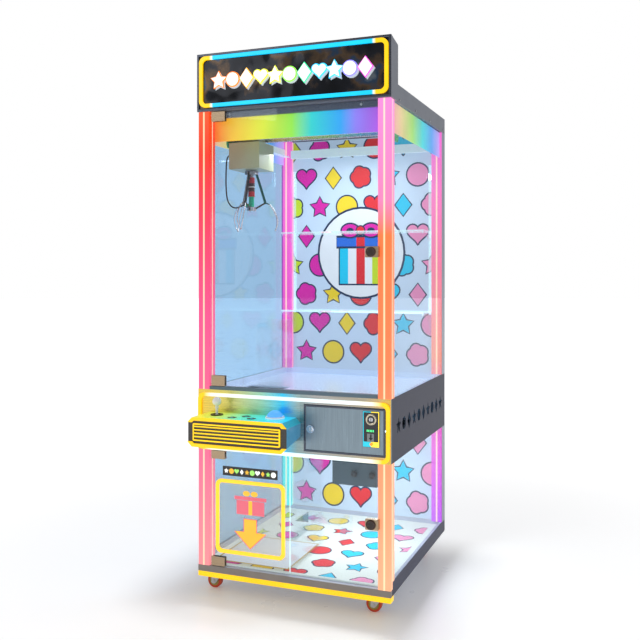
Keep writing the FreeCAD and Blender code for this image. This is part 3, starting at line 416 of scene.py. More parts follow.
def acrylic_material():
    """Clear sheet whose sawn front edges catch the light."""
    made = Shader("clear_sheet", 0.03, 0.9).colour((0.78, 0.92, 1.0), 0.03, 3.0).surface(0.03, 0.01, 4.0)
    facing = made.node("ShaderNodeSeparateXYZ")
    made.link(made.node("ShaderNodeNewGeometry").outputs["Normal"], facing.inputs[0])
    width = made.math("ABSOLUTE", made.x)
    shelf = made.both(made.over(made.z, 1.09), made.over(made.y, 0.30))
    sawn = made.both(shelf, made.over(made.math("ABSOLUTE", facing.outputs[1]), 0.9))
    sawn = made.both(sawn, made.over(0.346, width))
    duct_end = made.both(made.over(0.62, made.z), made.over(-0.338, made.y))
    duct_end = made.both(duct_end, made.over(made.math("ABSOLUTE", facing.outputs[1]), 0.9))
    sawn = made.math("MAXIMUM", sawn, duct_end)
    # The sawn edges are given a glow and made less see-through: a painted highlight.
    made.glow((0.75, 1.0, 0.92), made.both(sawn, 0.7))
    slant = made.node("ShaderNodeLayerWeight")
    slant.inputs["Blend"].default_value = 0.5
    grazing = made.math("MULTIPLY", made.math("POWER", slant.outputs["Facing"], 4.0), 0.35)
    factor = made.math("ADD", made.math("ADD", grazing, 0.06), made.both(sawn, 0.5))
    mixer = made.node("ShaderNodeMixShader")
    made.link(factor, mixer.inputs[0])
    made.link(made.node("ShaderNodeBsdfTransparent").outputs[0], mixer.inputs[1])
    made.link(made.bsdf.outputs[0], mixer.inputs[2])
    made.link(mixer.outputs[0], made.output.inputs["Surface"])
    return made.material


def beam_material():
    """White rails and rear beam, with a dark strip over the door."""
    made = Shader("white_beam", 0.3)
    strip = made.over(-0.30, made.y)
    tint = made.mix(strip, (0.74, 0.86, 0.86), (0.05, 0.06, 0.09))
    made.colour(tint, 0.06, 20.0).surface(0.3, 0.06, 200.0, 0.03)
    # The beam glows in its own tint: painted light from the lamps inside.
    return made.glow(tint, 0.32).material


def bridge_material():
    """Steel racks between green end trucks."""
    made = Shader("bridge_steel", 0.25)
    truck = made.over(made.math("ABSOLUTE", made.x), 0.3415)
    made.colour(made.mix(truck, (0.72, 0.74, 0.76), (0.01, 0.33, 0.14)), 0.1, 60.0)
    made.surface(0.28, 0.08, 200.0, 0.05)
    made.feed(made.bsdf.inputs["Metallic"], made.math("SUBTRACT", 0.9, made.both(truck, 0.9)))
    return made.material


def claw_body_material():
    """Green coil tube, then the red and black solenoid case, then bare steel."""
    made = Shader("claw_solenoid", 0.3)
    # The thin pale band from 1.637 to 1.641 m is a painted glint on the case.
    colour = made.ramp(made.z, 1.55, 1.72, [
        (1.55, (0.01, 0.42, 0.24)), (1.599, (0.45, 0.01, 0.02)), (1.620, (0.06, 0.02, 0.02)),
        (1.637, (0.75, 0.75, 0.74)), (1.641, (0.04, 0.02, 0.02)), (1.655, (0.42, 0.01, 0.03)),
        (1.679, (0.35, 0.35, 0.37))], "CONSTANT")
    made.colour(colour, 0.12, 80.0).surface(0.3, 0.08, 300.0, 0.08)
    made.feed(made.bsdf.inputs["Metallic"], made.over(made.z, 1.679))
    return made.material


def prong_material(name, colour):
    """A painted flat arm above and bright bent wire below."""
    made = Shader(name, 0.25)
    arm = made.over(made.z, 1.568)
    made.colour(made.mix(arm, (0.72, 0.70, 0.72), colour), 0.15, 60.0).surface(0.25, 0.1, 200.0, 0.06)
    made.feed(made.bsdf.inputs["Metallic"], made.mix(arm, (1.0, 1.0, 1.0), (0.35, 0.35, 0.35)))
    return made.material


def wheel_material(name, axle_x):
    """Red-orange tyre round an olive hub."""
    made = Shader(name, 0.45)
    across = made.math("POWER", made.math("SUBTRACT", made.x, axle_x), 2.0)
    up = made.math("POWER", made.math("SUBTRACT", made.z, 0.03), 2.0)
    radius = made.math("SQRT", made.math("ADD", across, up))
    tyre = made.over(radius, 0.0205)
    made.colour(made.mix(tyre, (0.42, 0.36, 0.10), (0.62, 0.06, 0.015)), 0.15, 60.0)
    return made.surface(0.45, 0.1, 300.0, 0.1).material


# ---------------------------------------------------------------- giving CAD nodes their looks
def wear(material, *nodes):
    for name in nodes:
        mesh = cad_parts[name].data
        mesh.materials.clear()
        mesh.materials.append(material)


def dress_cad():
    body = paint("slate_body", (0.19, 0.205, 0.245), 0.38)
    wear(body, "marquee_housing", "roof_panel")
    mid = sheet_metal_material("mid_section", (0.042, 0.046, 0.078), (0.14, 0.20, 0.25), (0.20, 0.27, 0.33))
    wear(mid, "mid_cabinet")
    base = sheet_metal_material("base_rail", (0.07, 0.075, 0.12), (0.33, 0.29, 0.26), (0.50, 0.54, 0.66))
    wear(base, "base_frame")
    wear(fascia_material(), "front_fascia")
    wear(brushed("coin_door_steel", (0.27, 0.345, 0.40), 0.36, (140.0, 2.0, 2.0)), "coin_door")
    # The playfield laminate glows pale blue: painted light from the lamps inside.
    wear(lit("playfield_laminate", (0.56, 0.68, 0.86), 0.30, 0.25), "playfield_floor")
    wear(beam_material(), "gantry_frame")
    wear(printed("print_ground", (0.66, 0.80, 0.96)), "back_panels")
    wear(printed("floor_print_ground", (0.86, 0.92, 0.86)), "lower_floor_panel")
    wear(tube_material(), "neon_tubes")
    wear(flap_material(), "prize_flap")
    wear(grille_material(), "console_grille")
    wear(column_material(), "corner_posts")
    wear(band_material(), "light_bands")
    wear(foil_material(), "marquee_face")
    wear(console_material(), "console_housing")
    pane = glass("pane_glass", (0.80, 0.90, 0.95))
    wear(pane, "side_glasses", "upper_door_glass", "lower_door_glass")
    wear(acrylic_material(), "prize_chute", "display_shelves")
    wear(brushed("patch_metal", (0.46, 0.34, 0.22), 0.3), "upper_door_fittings", "lower_door_fittings")
    dark = paint("dark_metal", (0.05, 0.035, 0.03), 0.25)
    wear(dark, "upper_lock_barrel", "lower_lock_barrel", "claw_link_1", "claw_link_2", "claw_link_3")
    chrome = Shader("chrome", 0.1, 1.0).colour((0.78, 0.80, 0.84), 0.1, 30.0).surface(0.12, 0.06, 90.0)
    wear(chrome.material, "claw_plunger", "coin_lock_barrel")
    steel = brushed("zinc_steel", (0.55, 0.56, 0.58), 0.32)
    wear(steel, "screws")
    black = plastic("black_plastic", (0.015, 0.015, 0.017), 0.35, 0.08)
    wear(black, "control_bezels", "joystick_gimbal", "power_inlet", "speaker", "coin_mech")
    wear(paint("grey_housing", (0.10, 0.15, 0.18), 0.4), "coin_box", "cash_box")
    wear(plastic("solder_mask", (0.02, 0.20, 0.07), 0.35), "control_electronics")
    wear(plastic("joystick_white", (0.90, 0.90, 0.90), 0.15), "joystick", "hoist_drum")
    wear(lit("start_button_blue", (0.10, 0.42, 0.95), 0.5, 0.12), "start_button")
    wear(lit("reject_orange", (1.0, 0.28, 0.02), 0.8, 0.2), "reject_button")
    wear(bridge_material(), "bridge")
    wear(paint("carriage_shell", (0.42, 0.46, 0.30), 0.35), "carriage")
    wear(claw_body_material(), "claw_body")
    arms = (("1", (0.01, 0.10, 0.09)), ("2", (0.42, 0.42, 0.42)), ("3", (0.015, 0.015, 0.015)))
    for number, colour in arms:
        wear(prong_material("prong_" + number, colour), "claw_prong_" + number)
    for corner in ("front_left", "front_right", "rear_left", "rear_right"):
        axle_x = centre("castor_wheel_" + corner)[0]
        wear(wheel_material("wheel_" + corner, axle_x), "castor_wheel_" + corner)
        wear(steel, "castor_fork_" + corner)


# ---------------------------------------------------------------- mesh helpers
def finished(bm, name, materials):
    """Turns a bmesh into a linked object that wears the materials."""
    mesh = bpy.data.meshes.new(name)
    bm.to_mesh(mesh)
    bm.free()
    for material in materials:
        mesh.materials.append(material)
    piece = bpy.data.objects.new(name, mesh)
    bpy.context.collection.objects.link(piece)
    return piece


def join_rings(bm, rings, caps=True):
    """Faces from each ring of points to the next, and over both ends."""
    count = len(rings[0])
    for a, b in zip(rings, rings[1:]):
        for k in range(count):
            bm.faces.new((a[k], a[(k + 1) % count], b[(k + 1) % count], b[k]))
    if caps:
        bm.faces.new(rings[0][::-1])
        bm.faces.new(rings[-1])
    bmesh.ops.recalc_face_normals(bm, faces=bm.faces)


def round_off(piece):
    """Smooth shading on the sides, flat on the end caps."""
    for face in piece.data.polygons:
        face.use_smooth = len(face.vertices) == 4


def centre(name):
    """The middle of a CAD node's box."""
    low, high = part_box(name)
    return tuple((a + b) / 2 for a, b in zip(low, high))


# ---------------------------------------------------------------- flat artwork
def blossom(cx, cy, radius, petals=5, depth=0.16):
    """A flower outline: round lobes that meet in cusps."""
    points = []
    steps = petals * 12
    for k in range(steps):
        angle = 2 * math.pi * k / steps
        reach = radius * (1.0 - depth + depth * abs(math.sin(petals * angle / 2)))
        points.append((cx + reach * math.cos(angle), cy + reach * math.sin(angle)))
    return points


def disc(cx, cy, radius, tall=1.0):
    turns = [2 * math.pi * k / 36 for k in range(36)]
    return [(cx + radius * math.cos(t), cy + tall * radius * math.sin(t)) for t in turns]


def star(cx, cy, radius, inner=0.48):
    points = []
    for k in range(10):
        reach = radius if k % 2 == 0 else radius * inner
        angle = math.pi / 2 + k * math.pi / 5
        points.append((cx + reach * math.cos(angle), cy + reach * math.sin(angle)))
    return points


def diamond(cx, cy, radius):
    return [(cx, cy - radius), (cx + radius * 0.75, cy), (cx, cy + radius), (cx - radius * 0.75, cy)]


def heart(cx, cy, radius):
    points = []
    for k in range(40):
        t = 2 * math.pi * k / 40
        wide = 16 * math.sin(t) ** 3
        high = 13 * math.cos(t) - 5 * math.cos(2 * t) - 2 * math.cos(3 * t) - math.cos(4 * t)
        points.append((cx + radius * wide / 16, cy + radius * (high + 2.5) / 16))
    return points[::-1]


def rect(x0, x1, y0, y1):
    return [(x0, y0), (x1, y0), (x1, y1), (x0, y1)]


def clipped(points, x0, x1, y0, y1):
    """Cuts an outline down to a rectangle, one side at a time."""
    for axis, limit, keep_above in ((0, x0, True), (0, x1, False), (1, y0, True), (1, y1, False)):
        kept = []
        for a, b in zip(points, points[1:] + points[:1]):
            a_in = (a[axis] >= limit) == keep_above
            b_in = (b[axis] >= limit) == keep_above
            if a_in:
                kept.append(a)
            if a_in != b_in:
                t = (limit - a[axis]) / (b[axis] - a[axis])
                kept.append((a[0] + t * (b[0] - a[0]), a[1] + t * (b[1] - a[1])))
        points = kept
    return points


def art(name, body, layers, to_space, window=None, thick=0.0):
    """Flat shapes, each a step above the last unless it names its own level.

    to_space turns (u, v, height) into a point.
    """
    bm = bmesh.new()
    palette = []
    step = 0.00025
    for order, (outline, material, *level) in enumerate(layers, 1):
        rank = level[0] if level else order
        if window:
            outline = clipped(outline, *window)
        if len(outline) < 3:
            continue
        if material not in palette:
            palette.append(material)
        top = [bm.verts.new(to_space(u, v, thick + rank * step)) for u, v in outline]
        face = bm.faces.new(top)
        face.material_index = palette.index(material)
        if thick:
            foot = [bm.verts.new(to_space(u, v, 0.0)) for u, v in outline]
            for k in range(len(top)):
                nxt = (k + 1) % len(top)
                wall = bm.faces.new((top[k], foot[k], foot[nxt], top[nxt]))
                wall.material_index = palette.index(material)
    bm.normal_update()
    bmesh.ops.triangulate(bm, faces=[f for f in bm.faces if len(f.verts) > 4])
    piece = finished(bm, name, palette)
    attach(piece, body)
    return piece


INK = {
    "navy": printed("ink_navy", NAVY), "white": printed("ink_white", WHITE),
    "yellow": printed("ink_yellow", YELLOW), "lime": printed("ink_lime", LIME),
    "cyan": printed("ink_cyan", CYAN), "blue": printed("ink_blue", BLUE),
    "magenta": printed("ink_magenta", MAGENTA), "red": printed("ink_red", RED),
    "pink": printed("ink_pink", PINK),
}


def grown(shape, line):
    """The outline moved outwards by line, along each corner's own normal."""
    count = len(shape)
    area = sum(a[0] * b[1] - b[0] * a[1] for a, b in zip(shape, shape[1:] + shape[:1]))
    way = 1.0 if area > 0 else -1.0
    moved = []
    for k in range(count):
        before, here, after = shape[k - 1], shape[k], shape[(k + 1) % count]
        dx, dy = after[0] - before[0], after[1] - before[1]
        run = math.hypot(dx, dy) or 1.0
        moved.append((here[0] + way * dy / run * line, here[1] - way * dx / run * line))
    return moved


def outlined(shape, colour, line=0.010):
    return [(grown(shape, line), INK["navy"]), (shape, INK[colour])]


def pattern(x0, x1, y0, y1, pitch, size):
    """Simple shapes on a staggered grid, their kinds and colours taking turns."""
    kinds = (blossom, star, disc, heart, diamond)
    colours = ("lime", "magenta", "yellow", "red", "cyan", "pink", "blue")
    layers = []
    count = 0
    for row in range(int((y1 - y0) / pitch) + 1):
        for column in range(-1, int((x1 - x0) / pitch) + 1):
            u = x0 + pitch * (column + 0.5 + 0.5 * (row % 2))
            shape = kinds[count % len(kinds)](u, y0 + pitch * row, size)
            layers.append((grown(shape, size * 0.14), INK["navy"], 1))
            layers.append((shape, INK[colours[count % len(colours)]], 2))
            count += 1
    return layers


def gift(cx, base, size):
    """A wrapped box with a bow."""
    half = size / 2
    lid = base + size * 0.85
    layers = outlined(rect(cx - half, cx + half, base, lid), "white")
    layers += [(rect(cx - half, cx - half * 0.6, base, lid), INK["cyan"]),
               (rect(cx + half * 0.55, cx + half, base, lid), INK["lime"]),
               (rect(cx - half * 0.2, cx + half * 0.2, base, lid), INK["red"])]
    layers += outlined(rect(cx - half * 1.15, cx + half * 1.15, lid, lid + size * 0.2), "blue")
    layers += [(rect(cx - half * 0.2, cx + half * 0.2, lid, lid + size * 0.2), INK["red"])]
    bow = lid + size * 0.36
    for side in (-1, 1):
        layers += outlined(disc(cx + side * half * 0.5, bow, size * 0.20, 0.72), "magenta", 0.008)
        layers.append((disc(cx + side * half * 0.5, bow, size * 0.09, 0.7), INK["navy"]))
    return layers + outlined(disc(cx, bow, size * 0.09), "red", 0.006)


def back_wall_art():
    """A plain repeating print on both rear panels, with a gift box on a roundel above."""
    low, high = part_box("back_panels")
    mid_low, mid_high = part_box("mid_cabinet")
    panel_front = low[1]
    edge = 0.349
    pitch = 2 * edge / 5

    def on_panel(u, v, height):
        return (u, panel_front - 0.0004 - height, v)

    spans = (("back_wall_art", mid_high[2], high[2]), ("lower_wall_art", low[2], mid_low[2]))
    for name, foot, top in spans:
        layers = pattern(-edge, edge, foot + pitch / 2, top, pitch, pitch * 0.36)
        art(name, "cabinet", layers, on_panel, (-edge, edge, foot + 0.004, top - 0.004))
    size = 0.21
    middle = (mid_high[2] + high[2]) / 2
    layers = outlined(disc(0.0, middle, size), "white") + gift(0.0, middle - size * 0.7, size)
    art("wall_gift", "cabinet", layers, on_panel, thick=0.0008)


def floor_art():
    low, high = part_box("lower_floor_panel")
    top = high[2]
    x0, x1, y0, y1 = -0.345, 0.345, low[1] + 0.01, high[1] - 0.01
    pitch = (x1 - x0) / 5

    def on_floor(u, v, height):
        return (u, v, top + 0.0003 + height)

    art("floor_art", "cabinet", pattern(x0, x1, y0, y1, pitch, pitch * 0.32), on_floor, (x0, x1, y0, y1))
    prize_mat = [(rect(-0.345, -0.02, -0.335, -0.005), printed("mat_edge", (0.55, 0.36, 0.08))),
                 (rect(-0.337, -0.028, -0.327, -0.013), printed("mat_white", (0.80, 0.82, 0.84)))]
    art("prize_mat", "cabinet", prize_mat, lambda u, v, h: (u, v, top + 0.0090 + h))


def marquee_art():
    """A row of lit shapes in place of a name, each with a coloured rim and a pale drop shade."""
    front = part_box("marquee_face")[0][1]
    middle = centre("marquee_face")[2]

    def on_face(u, v, height):
        return (u, front - 0.0004 - height, v)

    white = lit("sign_white", (0.92, 0.93, 0.92), 0.55)
    shade = lit("sign_shade", (0.55, 0.62, 0.66), 0.25)
    hues = ((1.0, 0.22, 0.02), (1.0, 0.45, 0.02), (0.75, 0.80, 0.03), (0.25, 0.85, 0.05),
            (0.02, 0.75, 0.30), (0.02, 0.55, 0.95), (0.25, 0.22, 0.95), (0.80, 0.05, 0.60))
    kinds = (star, disc, diamond, heart)
    count = 11
    shades, rims, fills = [], [], []
    for k in range(count):
        u = -0.305 + 0.61 * k / (count - 1)
        make = kinds[k % len(kinds)]
        size = {star: 0.034, disc: 0.0255, diamond: 0.036, heart: 0.0275}[make]
        edge = lit("sign_rim_%d" % k, hues[min(k * len(hues) // count, len(hues) - 1)], 0.9)
        shape = make(u, middle + 0.002, size)
        shades.append((grown([(x + 0.006, y - 0.007) for x, y in shape], 0.004), shade))
        rims.append((grown(shape, 0.0045), edge))
        fills.append((shape, white))
    art("sign_shades", "cabinet", shades, on_face, thick=0.0020)
    art("sign_rims", "cabinet", rims, on_face, thick=0.0055)
    art("sign_shapes", "cabinet", fills, on_face, thick=0.0085)


def flap_art():
    low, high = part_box("prize_flap")
    middle = (low[0] + high[0]) / 2
    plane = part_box("lower_door_glass")[0][1]

    def on_flap(u, v, height):
        return (u, plane - 0.0004 - height, v)

    gold = lit("flap_gold", (0.95, 0.52, 0.04), 0.45)
    rose = lit("flap_rose", (0.85, 0.16, 0.22), 0.35)
    ground = Shader("flap_film", 0.3).colour((0.62, 0.72, 0.74), 0.1, 12.0).surface(0.3, 0.05, 90.0, 0.02)
    ground.see_through(0.30, 0.1)
    inset = 0.016
    layers = [(rect(low[0] + inset, high[0] - inset, low[2] + inset, high[2] - inset), ground.material)]
    box_low, half = 0.335, 0.060
    layers += [(rect(middle - half, middle + half, box_low, box_low + 0.055), rose),
               (rect(middle - 0.008, middle + 0.008, box_low, box_low + 0.055), gold),
               (rect(middle - half * 1.15, middle + half * 1.15, box_low + 0.057, box_low + 0.071), rose),
               (disc(middle - 0.017, box_low + 0.083, 0.015, 0.7), gold),
               (disc(middle + 0.017, box_low + 0.083, 0.015, 0.7), gold)]
    arrow = [(middle - 0.026, 0.318), (middle - 0.026, 0.268), (middle - 0.066, 0.268), (middle, 0.205),
             (middle + 0.066, 0.268), (middle + 0.026, 0.268), (middle + 0.026, 0.318)]
    layers += [(grown(arrow, 0.004), rose), (arrow, gold)]
    art("flap_print", "prize_flap", layers, on_flap)

    plaque = [(rect(-0.293, -0.055, 0.482, 0.519), plastic("plaque_black", (0.02, 0.02, 0.02), 0.3))]
    tints = (lit("plaque_white", (0.95, 0.95, 0.90), 0.7), gold, lit("plaque_green", (0.35, 0.80, 0.15), 0.6))
    kinds = (star, disc, heart, diamond)
    for k in range(10):
        u = -0.277 + 0.0228 * k
        plaque.append((kinds[k % 4](u, 0.5005, 0.0105), tints[k % 3]))
    art("door_plaque", "lower_door", plaque, on_flap)


def console_art():
    low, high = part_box("console_housing")
    top = high[2]

    def on_deck(u, v, height):
        return (u, v, top + 0.0002 + height)

    ink = plastic("deck_ink", (0.015, 0.02, 0.03), 0.3)
    controls = [centre("joystick")[0], centre("start_button")[0]]
    clearance = 0.045
    layers = []
    count = 9
    for k in range(count):
        u = low[0] + (high[0] - low[0]) * (k + 1) / (count + 1)
        v = low[1] + (0.045 if k % 2 else 0.085)
        if all(abs(u - x) > clearance for x in controls):
            layers.append((blossom(u, v, 0.019), ink))
            layers.append((disc(u, v, 0.006), INK["cyan"]))
    art("deck_print", "cabinet", layers, on_deck)


# ---------------------------------------------------------------- small built pieces
def ring_frame(name, body, x0, x1, z0, z1, wide, front, deep, material):
    """A mitred rectangular trim with a slightly rounded front."""
    bm = bmesh.new()
    section = ((0.0, deep), (0.0, deep * 0.25), (wide * 0.25, 0.0),
               (wide * 0.75, 0.0), (wide, deep * 0.25), (wide, deep))
    rings = []
    for inset, back in section:
        corners = ((x0 + inset, z0 + inset), (x1 - inset, z0 + inset),
                   (x1 - inset, z1 - inset), (x0 + inset, z1 - inset))
        rings.append([bm.verts.new((x, front + back, z)) for x, z in corners])
    join_rings(bm, rings + rings[:1], caps=False)
    piece = finished(bm, name, [material])
    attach(piece, body)
    return piece


def lathe(name, body, profile, origin, axis, material, steps=40):
    """Turns (radius, height) points about an axis through origin."""
    along = Vector(axis).normalized()
    side = along.orthogonal().normalized()
    third = along.cross(side)
    bm = bmesh.new()
    rings = []
    for radius, height in profile:
        ring = []
        for k in range(steps):
            t = 2 * math.pi * k / steps
            spoke = side * math.cos(t) + third * math.sin(t)
            ring.append(bm.verts.new(Vector(origin) + along * height + spoke * radius))
        rings.append(ring)
    join_rings(bm, rings)
    piece = finished(bm, name, [material])
    round_off(piece)
    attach(piece, body)
    return piece


def coin_unit():
    """The coin plate: cyan and yellow halves, a ringed coin entry, a display and an arrow."""
    low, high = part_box("coin_mech")
    x0, x1, z0, z1 = low[0], high[0], low[2], high[2]
    front = low[1]
    middle = (x0 + x1) / 2
    edge = 0.004

    def on_plate(u, v, height):
        return (u, front - 0.0003 - height, v)

    cyan = lit("coin_plate_cyan", (0.02, 0.62, 0.80), 0.45)
    gold = lit("coin_plate_yellow", (1.0, 0.75, 0.05), 0.9)
    dark = plastic("coin_plate_black", (0.015, 0.015, 0.02), 0.25)
    green = lit("display_green", (0.10, 0.90, 0.30), 0.9)
    screen = plastic("display_black", (0.01, 0.015, 0.01), 0.1)
    entry_z = 0.742
    layers = [(rect(x0 + 0.001, middle, z0 + 0.001, z1 - 0.001), cyan),
              (rect(middle, x1 - 0.001, z0 + 0.001, z1 - 0.001), gold),
              (rect(x0 + edge, x1 - edge, z0 + 0.020, z1 - edge), dark),
              (rect(x0 + 0.012, x1 - 0.016, 0.693, 0.708), screen)]
    for k in range(5):
        layers.append((rect(x0 + 0.016 + 0.006 * k, x0 + 0.0195 + 0.006 * k, 0.6965, 0.7045), green))
    grey = plastic("slot_grey", (0.26, 0.29, 0.30), 0.4)
    layers.append((rect(x0 + 0.018, x1 - 0.020, 0.6605, 0.6905), grey))
    arrow = [(-0.003, 0.6885), (-0.003, 0.6750), (-0.0085, 0.6750), (0.0, 0.6640),
             (0.0085, 0.6750), (0.003, 0.6750), (0.003, 0.6885)]
    layers.append(([(middle + u, v) for u, v in arrow], plastic("arrow_black", BLACK, 0.4)))
    art("coin_plate_print", "coin_door", layers, on_plate)
    gilt = polished("coin_entry_gold", (0.62, 0.56, 0.42))
    bright = polished("coin_entry_steel", (0.6, 0.62, 0.65))
    profile = ((0.0215, -0.0012), (0.0215, 0.0012), (0.0195, 0.0034),
               (0.0150, 0.0030), (0.0140, 0.0012), (0.0001, 0.0012))
    lathe("coin_entry_ring", "coin_door", profile, (middle, front, entry_z), (0, -1, 0), gilt)
    slot_shape = [(disc(middle, entry_z, 0.0135), dark),
                  (disc(middle, entry_z, 0.0075), bright),
                  (rect(middle - 0.0014, middle + 0.0014, 0.7325, 0.7515), plastic("entry_slit", BLACK, 0.5))]
    art("coin_entry_slit", "coin_door", slot_shape, lambda u, v, h: (u, front - 0.0015 - h, v))


def trims():
    silver = brushed("bezel_dark", (0.10, 0.11, 0.14), 0.25)
    low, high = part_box("marquee_housing")
    ring_frame("marquee_bezel", "cabinet", low[0] + 0.0005, high[0] - 0.0005, low[2] + 0.001, high[2] - 0.001,
               0.009, low[1] - 0.0035, 0.0045, silver)
    low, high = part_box("coin_door")
    ring_frame("coin_door_border", "coin_door", low[0], high[0], low[2], high[2],
               0.006, low[1] - 0.0022, 0.0022, silver)
    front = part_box("coin_lock_barrel")[0][1]
    chrome = Shader("lock_chrome", 0.12, 1.0).colour((0.55, 0.68, 0.85), 0.1, 60.0).surface(0.12, 0.05, 150.0)
    x, _, z = centre("coin_lock_barrel")
    profile = ((0.0165, -0.0066), (0.0170, -0.0045), (0.0150, -0.0012),
               (0.0135, -0.0002), (0.0131, -0.0030), (0.0131, -0.0066))
    lathe("coin_lock_collar", "coin_door", profile, (x, front, z), (0, -1, 0), chrome.material)
    dark = paint("collar_brown", (0.07, 0.04, 0.03), 0.2)
    for door in ("upper", "lower"):
        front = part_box(door + "_lock_barrel")[0][1]
        x, _, z = centre(door + "_lock_barrel")
        profile = ((0.0185, -0.0058), (0.0190, -0.0030), (0.0165, 0.0000),
                   (0.0135, 0.0004), (0.0132, -0.0058))
        lathe(door + "_lock_collar", door + "_door", profile, (x, front, z), (0, -1, 0), dark)
    x, y, _ = centre("start_button")
    rim = lit("button_rim", (0.75, 0.85, 0.95), 0.3, 0.15)
    deck = 0.730
    profile = ((0.0312, 0.0005), (0.0375, 0.0005), (0.0370, 0.0060), (0.0345, 0.0088), (0.0312, 0.0084))
    lathe("button_collar", "cabinet", profile, (x, y, deck), (0, 0, 1), rim)
    knob = plastic("knob_dark", (0.03, 0.03, 0.035), 0.3)
    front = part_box("coin_box")[0][1]
    for k, x in enumerate((0.240, 0.310), 1):
        profile = ((0.0115, 0.0), (0.0120, 0.0030), (0.0105, 0.0060), (0.0040, 0.0072), (0.0001, 0.0070))
        lathe("box_knob_%d" % k, "cabinet", profile, (x, front, 0.522), (0, -1, 0), knob)


# ---------------------------------------------------------------- cords
def centreline(points):
    """Points along a NURBS spline whose control points are the route."""
    data = bpy.data.curves.new("route", "CURVE")
    data.dimensions = "3D"
    spline = data.splines.new("NURBS")
    spline.points.add(len(points) - 1)
    for point, place in zip(spline.points, points):
        point.co = (*place, 1.0)
    spline.order_u = 3
    spline.use_endpoint_u = True
    spline.resolution_u = 10
    holder = bpy.data.objects.new("route", data)
    bpy.context.collection.objects.link(holder)
    bpy.context.view_layer.update()
    mesh = bpy.data.meshes.new_from_object(holder)
    line = [v.co.copy() for v in mesh.vertices]
    bpy.data.objects.remove(holder)
    bpy.data.meshes.remove(mesh)
    return line


def tube_mesh(name, line, radius, material, sides=12):
    bm = bmesh.new()
    rings = []
    side = None
    for k, here in enumerate(line):
        ahead = line[min(k + 1, len(line) - 1)] - line[max(k - 1, 0)]
        ahead.normalize()
        side = ahead.orthogonal() if side is None else side - ahead * side.dot(ahead)
        side.normalize()
        third = ahead.cross(side)
        ring = []
        for j in range(sides):
            t = 2 * math.pi * j / sides
            ring.append(bm.verts.new(here + (side * math.cos(t) + third * math.sin(t)) * radius))
        rings.append(ring)
    join_rings(bm, rings)
    piece = finished(bm, name, [material])
    round_off(piece)
    return piece


def cords():
    """The coil's cable and the hoist string. Both stretch between carriage and claw."""
    axis_x, axis_y = -0.267, -0.155
    angle = math.radians(192)
    route = [(0.080, 1.775), (0.093, 1.775), (0.103, 1.768), (0.107, 1.752), (0.109, 1.722),
             (0.110, 1.690), (0.110, 1.650), (0.108, 1.612), (0.102, 1.581), (0.087, 1.559),
             (0.066, 1.552), (0.048, 1.559), (0.036, 1.565), (0.026, 1.565)]
    line = centreline([(axis_x + r * math.cos(angle), axis_y + r * math.sin(angle), z) for r, z in route])
    sheath = plastic("cable_sheath", (0.012, 0.012, 0.014), 0.45, 0.1)
    cable = tube_mesh("coil_cable", line, 0.003, sheath)
    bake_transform(cable)
    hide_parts("claw_cable")
    low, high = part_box("hoist_string")
    route = [(axis_x, axis_y, high[2]), (axis_x, axis_y, (low[2] + high[2]) / 2), (axis_x, axis_y, low[2])]
    line = centreline(route)
    string = tube_mesh("lift_string", line, 0.00125, sheath, 10)
    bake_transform(string)
    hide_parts("hoist_string")


# ---------------------------------------------------------------- floor, light, camera
def area_light(name, place, aim, size, power):
    data = bpy.data.lights.new(name, "AREA")
    data.shape = "RECTANGLE"
    data.size, data.size_y = size
    data.energy = power
    light = bpy.data.objects.new(name, data)
    light.location = place
    light.rotation_euler = (Vector(aim) - Vector(place)).to_track_quat("-Z", "Y").to_euler()
    bpy.context.collection.objects.link(light)


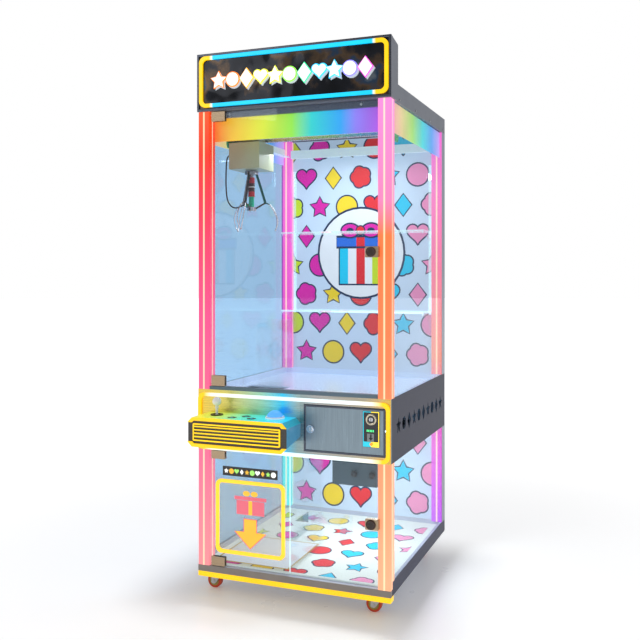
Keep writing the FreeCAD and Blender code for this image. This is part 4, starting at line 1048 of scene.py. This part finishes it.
def stage():
    bm = bmesh.new()
    bmesh.ops.create_circle(bm, cap_ends=True, segments=96, radius=40.0)
    made = Shader("floor_white", 0.35).colour((0.90, 0.90, 0.91), 0.01, 2.0).surface(0.3, 0.04, 6.0)
    flat = made.node("ShaderNodeVectorMath", operation="LENGTH")
    made.link(made.coords, flat.inputs[0])
    fade = made.node("ShaderNodeMapRange", interpolation_type="SMOOTHSTEP")
    made.link(flat.outputs["Value"], fade.inputs["Value"])
    fade.inputs["From Min"].default_value = 0.8
    fade.inputs["From Max"].default_value = 4.5
    fade.inputs["To Min"].default_value = 0.52
    fade.inputs["To Max"].default_value = 0.80
    # Painted shadow: the floor's glow drops to a quarter at the machine's footprint and returns over 0.42 m.
    across = made.math("MAXIMUM", made.math("SUBTRACT", made.math("ABSOLUTE", made.x), 0.38), 0.0)
    along = made.math("MAXIMUM", made.math("SUBTRACT", made.math("ABSOLUTE", made.y), 0.33), 0.0)
    squares = made.math("ADD", made.math("POWER", across, 2.0), made.math("POWER", along, 2.0))
    away = made.math("SQRT", squares)
    painted_shadow = made.node("ShaderNodeMapRange", interpolation_type="SMOOTHSTEP")
    made.link(away, painted_shadow.inputs["Value"])
    painted_shadow.inputs["From Max"].default_value = 0.42
    painted_shadow.inputs["To Min"].default_value = 0.25
    glow = made.math("MULTIPLY", fade.outputs[0], painted_shadow.outputs[0])
    made.glow((1.0, 1.0, 1.0), glow)
    floor = finished(bm, "floor", [made.material])
    world = bpy.data.worlds.new("studio")
    bpy.context.scene.world = world
    world.use_nodes = True
    tree = world.node_tree
    seen = tree.nodes.new("ShaderNodeLightPath").outputs["Is Camera Ray"]
    level = tree.nodes.new("ShaderNodeMapRange")
    tree.links.new(seen, level.inputs["Value"])
    level.inputs["To Min"].default_value = 0.42
    level.inputs["To Max"].default_value = 1.0
    tree.links.new(level.outputs[0], tree.nodes["Background"].inputs["Strength"])
    tree.nodes["Background"].inputs["Color"].default_value = (1.0, 1.0, 1.0, 1.0)
    area_light("key", (-2.4, -3.2, 3.6), (0, 0, 1.1), (2.2, 2.2), 26)
    area_light("side", (3.4, -0.6, 2.4), (0, 0, 1.0), (1.6, 2.6), 5)
    area_light("inside_top", (0.0, 0.1, 1.80), (0.0, 0.2, 0.8), (0.45, 0.45), 4.0)
    area_light("inside_low", (0.1, 0.1, 0.57), (0.1, 0.15, 0.1), (0.3, 0.3), 5.0)


def camera():
    data = bpy.data.cameras.new("camera")
    data.lens = 47.04
    data.sensor_width = 36.0
    data.shift_y = -0.073
    data.clip_end = 200.0
    made = bpy.data.objects.new("camera", data)
    made.location = (1.2732, -3.3013, 1.2803)
    made.rotation_euler = (math.radians(90.0), 0.0, math.radians(21.40))
    bpy.context.collection.objects.link(made)
    bpy.context.scene.camera = made


camera()
bpy.context.scene.view_settings.view_transform = "Standard"
stage()
dress_cad()
cords()
back_wall_art()
floor_art()
marquee_art()
flap_art()
console_art()
coin_unit()
trims()
